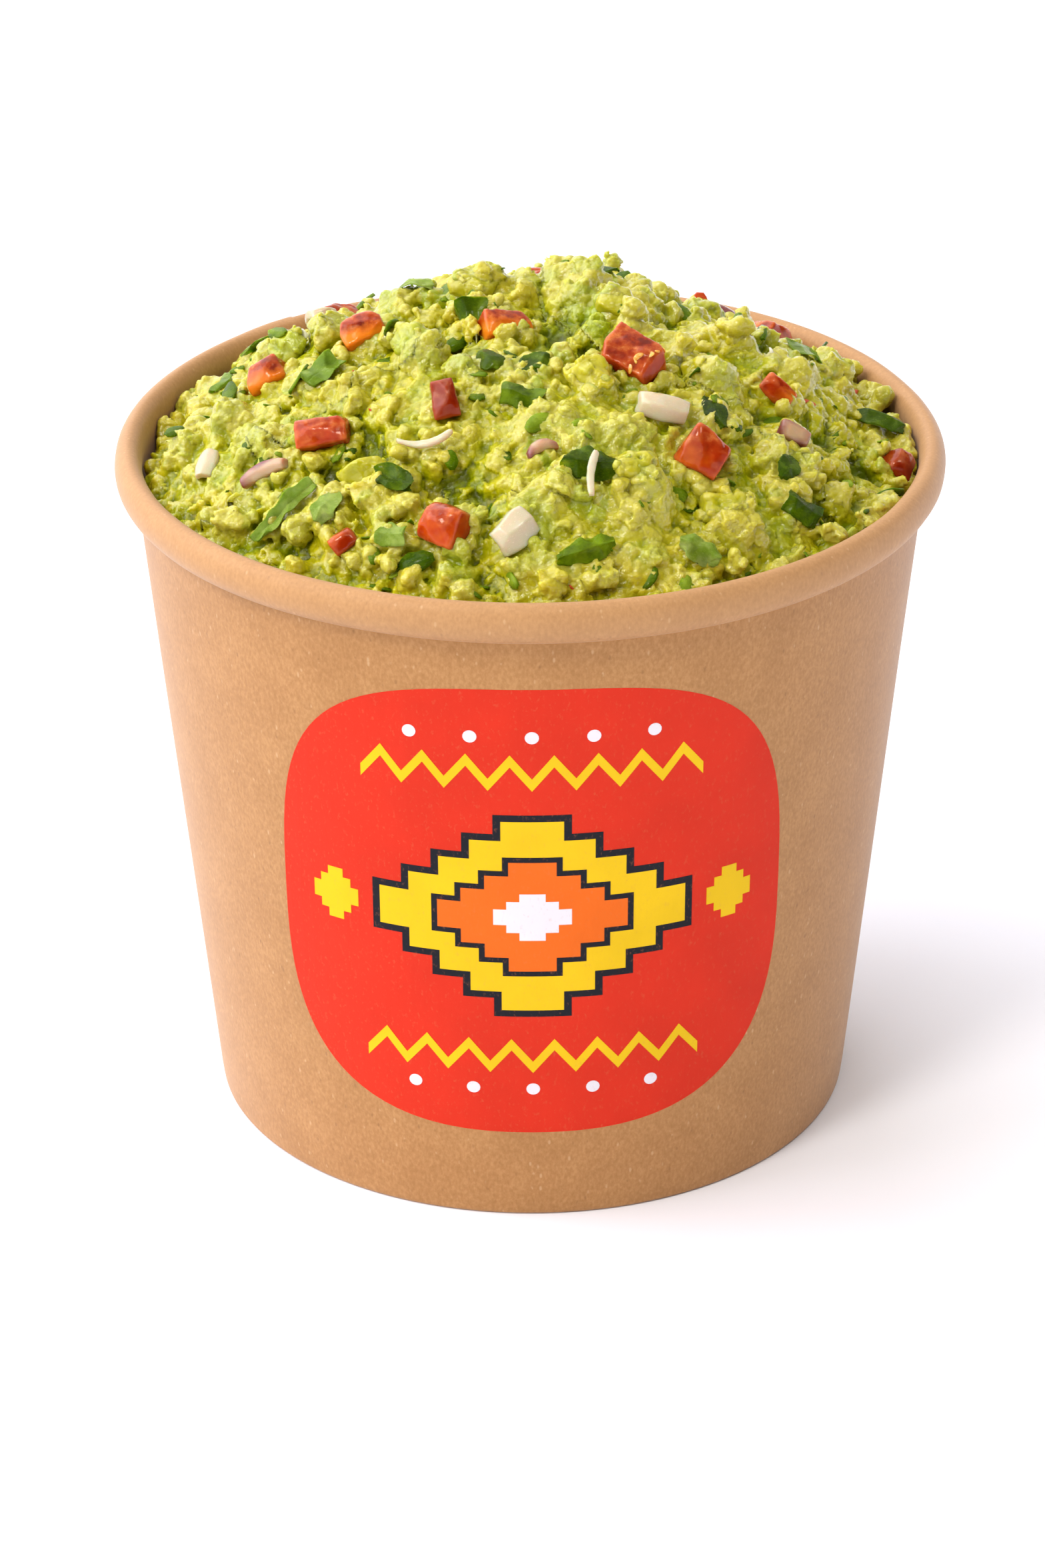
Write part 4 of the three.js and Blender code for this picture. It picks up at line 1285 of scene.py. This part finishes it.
def build_seeds(mesh):
    """Seeds that lie in the lower half of one die's cut face."""
    rng = np.random.default_rng(9)
    co, normal = points_of(mesh), normals_of(mesh)
    along = (co - co.mean(0)) @ np.array([0.45, -0.75, -0.2])
    along /= np.abs(along).max()
    facing = (normal[:, 2] > 0.25) & (along > -0.1) & (along < 0.8)
    pick = rng.choice(np.flatnonzero(facing), 7, replace=False)
    r = rng.uniform(0.36, 0.58, len(pick)) * MM
    scales = r[:, None] * rng.uniform((1.2, 0.8, 0.35), (1.5, 1.0, 0.5), (len(pick), 3))
    rotations = [leaning(n, rng, 0.0, 0.2) for n in normal[pick]]
    shapes = [refined(refined(shape, 2), 2) for shape in lump_shapes(4, 14, 5)]
    verts, faces, _ = copies(shapes, co[pick], scales, rotations, rng)
    finish_piece(new_object("tomato_seeds", verts, faces), seed_material(), "tomato")


def build_onions():
    white = onion_material("white_onion", srgb(220, 207, 174), srgb(202, 188, 142), 0.95)
    red = onion_material("red_onion", srgb(206, 172, 132), srgb(128, 64, 64), 0.5)
    for i, node in each("onion"):
        obj, co, local, _, _ = worked_up(node, "_cut", ONION_VOXEL, 9, 400 + i, 2, 0.22)
        mesh = obj.data
        push = 0.14 * MM * noise(co, 2.4 * MM, 90 + i)
        set_points(mesh, co + normals_of(mesh) * push[:, None])
        reach = np.maximum(np.abs(local[:, 0]), np.abs(local[:, 1]))
        store(mesh, along=co @ np.array([0.3, 0.2, 0.1]) / MM + local[:, 0] * 3, across=local[:, 1] * 2,
              rim=reach + 0.25 * noise(co, 1.2 * MM, 95 + i))
        is_red = node.startswith("red")
        finish_piece(obj, red if is_red else white, "red_onion" if is_red else "white_onion", node)


def leaf_points(co, normal, local, axes, i, rng):
    """A leaf's points with ragged edges, a fold along it, a curl and small waves."""
    ragged = 0.5 * MM * noise(co, 1.3 * MM, 120 + i)
    flat = (local[:, :1] * axes[0] + local[:, 1:2] * axes[1]) * ragged[:, None]
    fold = 1.1 * MM * (np.abs(local[:, 1]) - 0.4) * rng.uniform(-0.5, 1.0)
    curl = 0.8 * MM * (local[:, 0] ** 2 - 0.4) * rng.uniform(-1.0, 0.4)
    wave = 0.9 * MM * (0.35 - np.abs(noise(co, 3.2 * MM, 110 + i))) + fold + curl
    return co - normal * 0.2 * MM + flat + axes[2] * np.sign(axes[2][2]) * wave[:, None]


def build_herbs():
    dark = herb_material("herb", srgb(20, 38, 0), srgb(56, 78, 0), srgb(114, 138, 12))
    pale = herb_material("pale_herb", srgb(60, 88, 6), srgb(106, 132, 30), srgb(164, 180, 92))
    for i, node in each("herb"):
        obj, co, local, axes, rng = worked_up(node, "_leaf", LEAF_VOXEL, 2, 500 + i)
        mesh = obj.data
        is_pale = node in PALE_HERBS
        set_points(mesh, leaf_points(co, normals_of(mesh), local, axes, i, rng))
        store(mesh, along=local[:, 0] * 3, across=local[:, 1] * 2,
              tone=np.full(len(co), rng.uniform(0.5 if is_pale else 0.0, 1)))
        finish_piece(obj, pale if is_pale else dark, "herb", node)


# ---- Chunks, herb flecks and scraps ----

CHUNKS = [  # (x, y), size, turn in degrees, tone: as fused on the CAD mash
    ((7.1, -16.4), (6.2, 6.8, 5.6), 20, -0.7),
    ((10.1, 2.6), (6.8, 5.6, 4.4), 10, -0.2),
    ((22.8, -30.2), (7.8, 6.6, 5.4), -18, -0.1),
    ((30.6, -30.6), (9.4, 5.2, 5.0), 40, -0.6),
    ((-19.6, -25.6), (6.8, 4.4, 4.0), 48, 0.1),
    ((21.0, -9.6), (6.6, 6.2, 5.0), 14, -0.2),
    ((-12.8, -8.2), (8.2, 7.0, 5.2), 0, 0.6),
    ((-2.6, -23.0), (6.4, 5.2, 5.0), 30, 0.5),
    ((13.0, -31.0), (7.0, 5.4, 4.6), -10, 0.0),
    ((-6.0, 10.0), (8.0, 7.0, 4.6), 40, 0.2),
    ((4.0, 31.0), (7.4, 6.0, 5.0), -30, -0.2),
    ((-30.0, 8.5), (7.0, 5.6, 5.0), 60, 0.4),
]
CUT_CHUNKS = (1, 4)  # still smooth from the knife; the others are half mashed
CHUNK_VOXEL = 0.26 * MM
FLECK_COUNT = 240
SCRAP_COUNT = 12
SCRAP_VOXEL = 0.16 * MM


def chunk_block(surface, shape, place, size, turn):
    """One chunk's many-sided shape, laid in the heap's surface and half sunk in it."""
    x, y = np.array(place) * MM
    size = np.array(size) * MM
    up = Vector(surface.upright(np.array([x]), np.array([y]))[0])
    top = surface.read(surface.height, np.array([x]), np.array([y]))[0]
    centre = Vector((x, y, top)) - up * (0.42 * size[2])
    lean = up.to_track_quat("Z", "Y").to_matrix() @ Matrix.Rotation(math.radians(turn), 3, "Z")
    verts, faces = shape
    return (verts * size / 2) @ np.array(lean).T + np.array(centre), faces


def build_chunks(surface):
    """Pieces of avocado that were cut, not mashed. Returns a tree over all, and the half mashed ones."""
    shapes = lump_shapes(len(CHUNKS), 20, 17)
    material = mash_material("avocado_chunk", smoothness=1.0)
    meshes = []
    for i, (place, size, turn, tone) in enumerate(CHUNKS):
        obj = new_object("avocado_chunk_%d" % (i + 1), *chunk_block(surface, shapes[i], place, size, turn))
        mesh = remeshed(obj, CHUNK_VOXEL).data
        co = softened(mesh, 6)
        out, proud = crumbly(co)
        rough = 0.2 if i in CUT_CHUNKS else 0.9
        push = 0.35 * MM * noise(co, 2.6 * MM, 130 + i) + rough * out
        co = held_in_mouth(co + normals_of(mesh) * push[:, None])
        set_points(mesh, co)
        depth = proud_of(co, relaxed(co, edges_of(mesh), 60, 0.6), normals_of(mesh), 0.5 * MM)
        # relief becomes painted light on what stands out and painted shade in the creases, in the chunks'
        # colour.
        store(mesh, relief=np.clip(0.3 + 0.4 * depth + rough * 0.8 * proud, -1.2, 1.2),
              tone=np.clip(tone + 0.35 * noise(co, 3 * MM, 160 + i), -1, 1))
        finish_piece(obj, material, "avocado_mash")
        meshes.append(mesh)
    return tree_of_meshes(meshes), [mesh for i, mesh in enumerate(meshes) if i not in CUT_CHUNKS]


def leaf_shape(rng, along=5, across=2):
    """A thin bent flake, one unit long, closed, both faces split alike."""
    bend, cup = rng.uniform(-0.35, 0.1), rng.uniform(-0.3, 0.05)
    verts, faces = [], []
    row = across + 1
    for side in (1, -1):
        for i in range(along + 1):
            u = i / along
            width = (0.35 + 0.65 * math.sin(math.pi * u) ** 0.7) * rng.uniform(0.85, 1.1)
            for j in range(row):
                v = j / across - 0.5
                verts.append((u - 0.5, v * width * 0.62, bend * (u - 0.5) ** 2 + cup * v * v + side * 0.035))
    layer = (along + 1) * row
    for i, j in product(range(along), range(across)):
        a = i * row + j
        for b, c in ((a + row, a + row + 1), (a + row + 1, a + 1)):
            faces += [(a, b, c), (layer + a, layer + c, layer + b)]
    rim = [i * row for i in range(along)] + [along * row + j for j in range(across)]
    rim += [i * row + across for i in range(along, 0, -1)] + list(range(across, 0, -1))
    for k, a in enumerate(rim):
        b = rim[(k + 1) % len(rim)]
        faces += [(a, layer + b, b), (a, layer + a, layer + b)]
    return np.array(verts), np.array(faces)


def build_flecks(mash_tree, toppings):
    """Chopped herb finer than the leaves, pressed flat on the mash."""
    rng = np.random.default_rng(31)
    points, normals = landed(mash_tree, rng, FLECK_COUNT, 44.2 * MM, toppings, 0.4 * MM)
    shapes = [leaf_shape(rng) for _ in range(10)]
    length = 0.9 * MM + 3.6 * MM * rng.random(FLECK_COUNT) ** 1.7
    scales = np.stack([length, length * rng.uniform(0.5, 1.1, FLECK_COUNT), np.maximum(length, 2.2 * MM)], 1)
    rotations = [leaning(n, rng, 0.25, 0.4) for n in normals]
    centres = points - normals * rng.uniform(-0.1, 0.3, (FLECK_COUNT, 1)) * MM
    verts, faces, owner = copies(shapes, centres, scales, rotations, rng)
    obj = new_object("herb_flecks", held_in_mouth(verts), faces)
    store(obj.data, tone=rng.random(FLECK_COUNT)[owner], along=verts[:, 0] / MM, across=verts[:, 1] / MM)
    material = herb_material("herb_fleck", srgb(44, 70, 0), srgb(84, 110, 2), srgb(138, 158, 36))
    finish_piece(obj, material, "herb")


def build_scraps(name, slot, seed, mash_tree, toppings):
    """Scraps of one kind, most of them under the mash's skin."""
    rng = np.random.default_rng(seed)
    points, normals = landed(mash_tree, rng, SCRAP_COUNT, 43.5 * MM, toppings, 1.2 * MM)
    r = 0.8 * MM + 0.8 * MM * rng.random(SCRAP_COUNT) ** 1.5
    centres = points - normals * (r * rng.uniform(0.2, 0.6, SCRAP_COUNT))[:, None]
    scales = r[:, None] * rng.uniform(0.6, 1.3, (SCRAP_COUNT, 3))
    verts, faces, _ = copies(lump_shapes(8, 10, seed), centres, scales, turns(rng, SCRAP_COUNT), rng)
    obj = remeshed(new_object(name, verts, faces), SCRAP_VOXEL)
    co = held_in_mouth(softened(obj.data, 3))
    set_points(obj.data, co)
    store(obj.data, above=noise(co, 1.2 * MM, seed), edge=noise(co, 0.9 * MM, seed + 3),
          amber=0.5 * noise(co, 2.5 * MM, seed + 4), tone=noise(co, 2 * MM, seed + 1),
          rim=noise(co, 2 * MM, seed + 2) * 0.5 + 0.5, along=co[:, 0] / MM, across=co[:, 1] / MM)
    finish_piece(obj, bpy.data.materials[slot], slot)


# ---- The picture: floor, light and camera ----

FLOOR_REACH = 30.0
FLOOR_STEPS = 96
SWEEP_FROM = 0.6  # the floor starts to rise at this share of its reach
SWEEP_RISE = 6.0  # and has risen this far at its edge, so that no horizon shows
COOL = (0.98, 1.01, 1.12)
WARM = (1.0, 0.975, 0.93)
LIGHTS = [  # name, way it comes from (0 is the front, -90 the left), height, softness, strength, colour
    ("overhead", 0, 89, 70, 0.8, WARM),
    ("left", -90, 30, 50, 1.95, COOL),
    ("left_back", -130, 34, 80, 2.4, COOL),
    ("left_front", -45, 35, 50, 1.05, WARM),
    ("back", 180, 48, 80, 0.85, WARM),
    ("right", 85, 40, 60, 0.1, WARM),
    ("spark_left", -40, 50, 12, 0.95, WARM),
    ("spark_right", 25, 62, 12, 0.5, WARM),
]
ALL_ROUND_LIGHT = 0.03
PHOTO_HEIGHT = 2352  # in pixels
FOCAL_PIXELS = 7625.4
SENSOR_HEIGHT = 36
CAMERA_DISTANCE = 620.9 * MM
CAMERA_ELEVATION = math.radians(26.98)
CAMERA_ROLL = math.radians(-0.298)
CAMERA_TARGET = Vector((-1.07 * MM, 0, 37.65 * MM))


def build_stage():
    """A pale floor, which sweeps up far behind the object on every side."""
    shares = np.linspace(0, 1, 26)[1:]
    verts = [(0, 0, 0)]
    for share in shares:
        rise = SWEEP_RISE * max(share - SWEEP_FROM, 0) ** 2 / (1 - SWEEP_FROM) ** 2
        for a in circle(FLOOR_STEPS):
            verts.append((FLOOR_REACH * share * math.cos(a), FLOOR_REACH * share * math.sin(a), rise))
    floor = new_object("floor", verts, disc_faces(len(shares), FLOOR_STEPS))
    s = Shader("floor", Roughness=0.9, Specular_IOR_Level=0.0)
    paint = s.ramp(s.noise(3, 2), (0.3, srgb(238, 238, 244)), (0.7, srgb(240, 240, 246)))
    floor.data.materials.append(s.finish(paint))


def build_light():
    """Broad, even studio lights, strongest from the left."""
    world = bpy.data.worlds.new("studio")
    bpy.context.scene.world = world
    world.use_nodes = True
    background = world.node_tree.nodes["Background"]
    background.inputs["Color"].default_value = (1, 1, 1, 1)
    background.inputs["Strength"].default_value = ALL_ROUND_LIGHT
    for name, way, height, softness, strength, colour in LIGHTS:
        data = bpy.data.lights.new(name, "SUN")
        data.angle = math.radians(softness)
        data.energy = strength
        data.color = colour
        way, height = math.radians(way), math.radians(height)
        out = math.cos(height)
        towards = Vector((out * math.sin(way), -out * math.cos(way), math.sin(height)))
        linked(name, data).rotation_euler = towards.to_track_quat("Z", "Y").to_euler()


def build_camera():
    """The camera at the angle and distance that the tub's outlines give."""
    back = Vector((0, -math.cos(CAMERA_ELEVATION), math.sin(CAMERA_ELEVATION)))
    right = Vector((1, 0, 0))
    up = back.cross(right)
    c, s = math.cos(CAMERA_ROLL), math.sin(CAMERA_ROLL)
    data = bpy.data.cameras.new("camera")
    data.sensor_fit = "VERTICAL"
    data.sensor_height = SENSOR_HEIGHT
    data.lens = FOCAL_PIXELS * SENSOR_HEIGHT / PHOTO_HEIGHT
    data.clip_start = 0.05
    camera = linked("camera", data)
    turn = Matrix((c * right + s * up, c * up - s * right, back)).transposed().to_4x4()
    camera.matrix_world = Matrix.Translation(CAMERA_TARGET + back * CAMERA_DISTANCE) @ turn
    bpy.context.scene.camera = camera


# ---- Everything ----

build_camera()
build_stage()
build_light()
bpy.context.scene.view_settings.view_transform = "Standard"

heap = Surface()
build_wall()
build_base()
build_print()
chunk_tree, mashed_chunks = build_chunks(heap)
mash_tree = build_mash(heap, chunk_tree, mashed_chunks)
build_tomatoes()
build_onions()
build_herbs()
topping_tree = tree_of(TOPPINGS)
build_flecks(mash_tree, topping_tree)
build_scraps("tomato_bits", "tomato", 41, mash_tree, topping_tree)
build_scraps("onion_bits", "white_onion", 43, mash_tree, topping_tree)
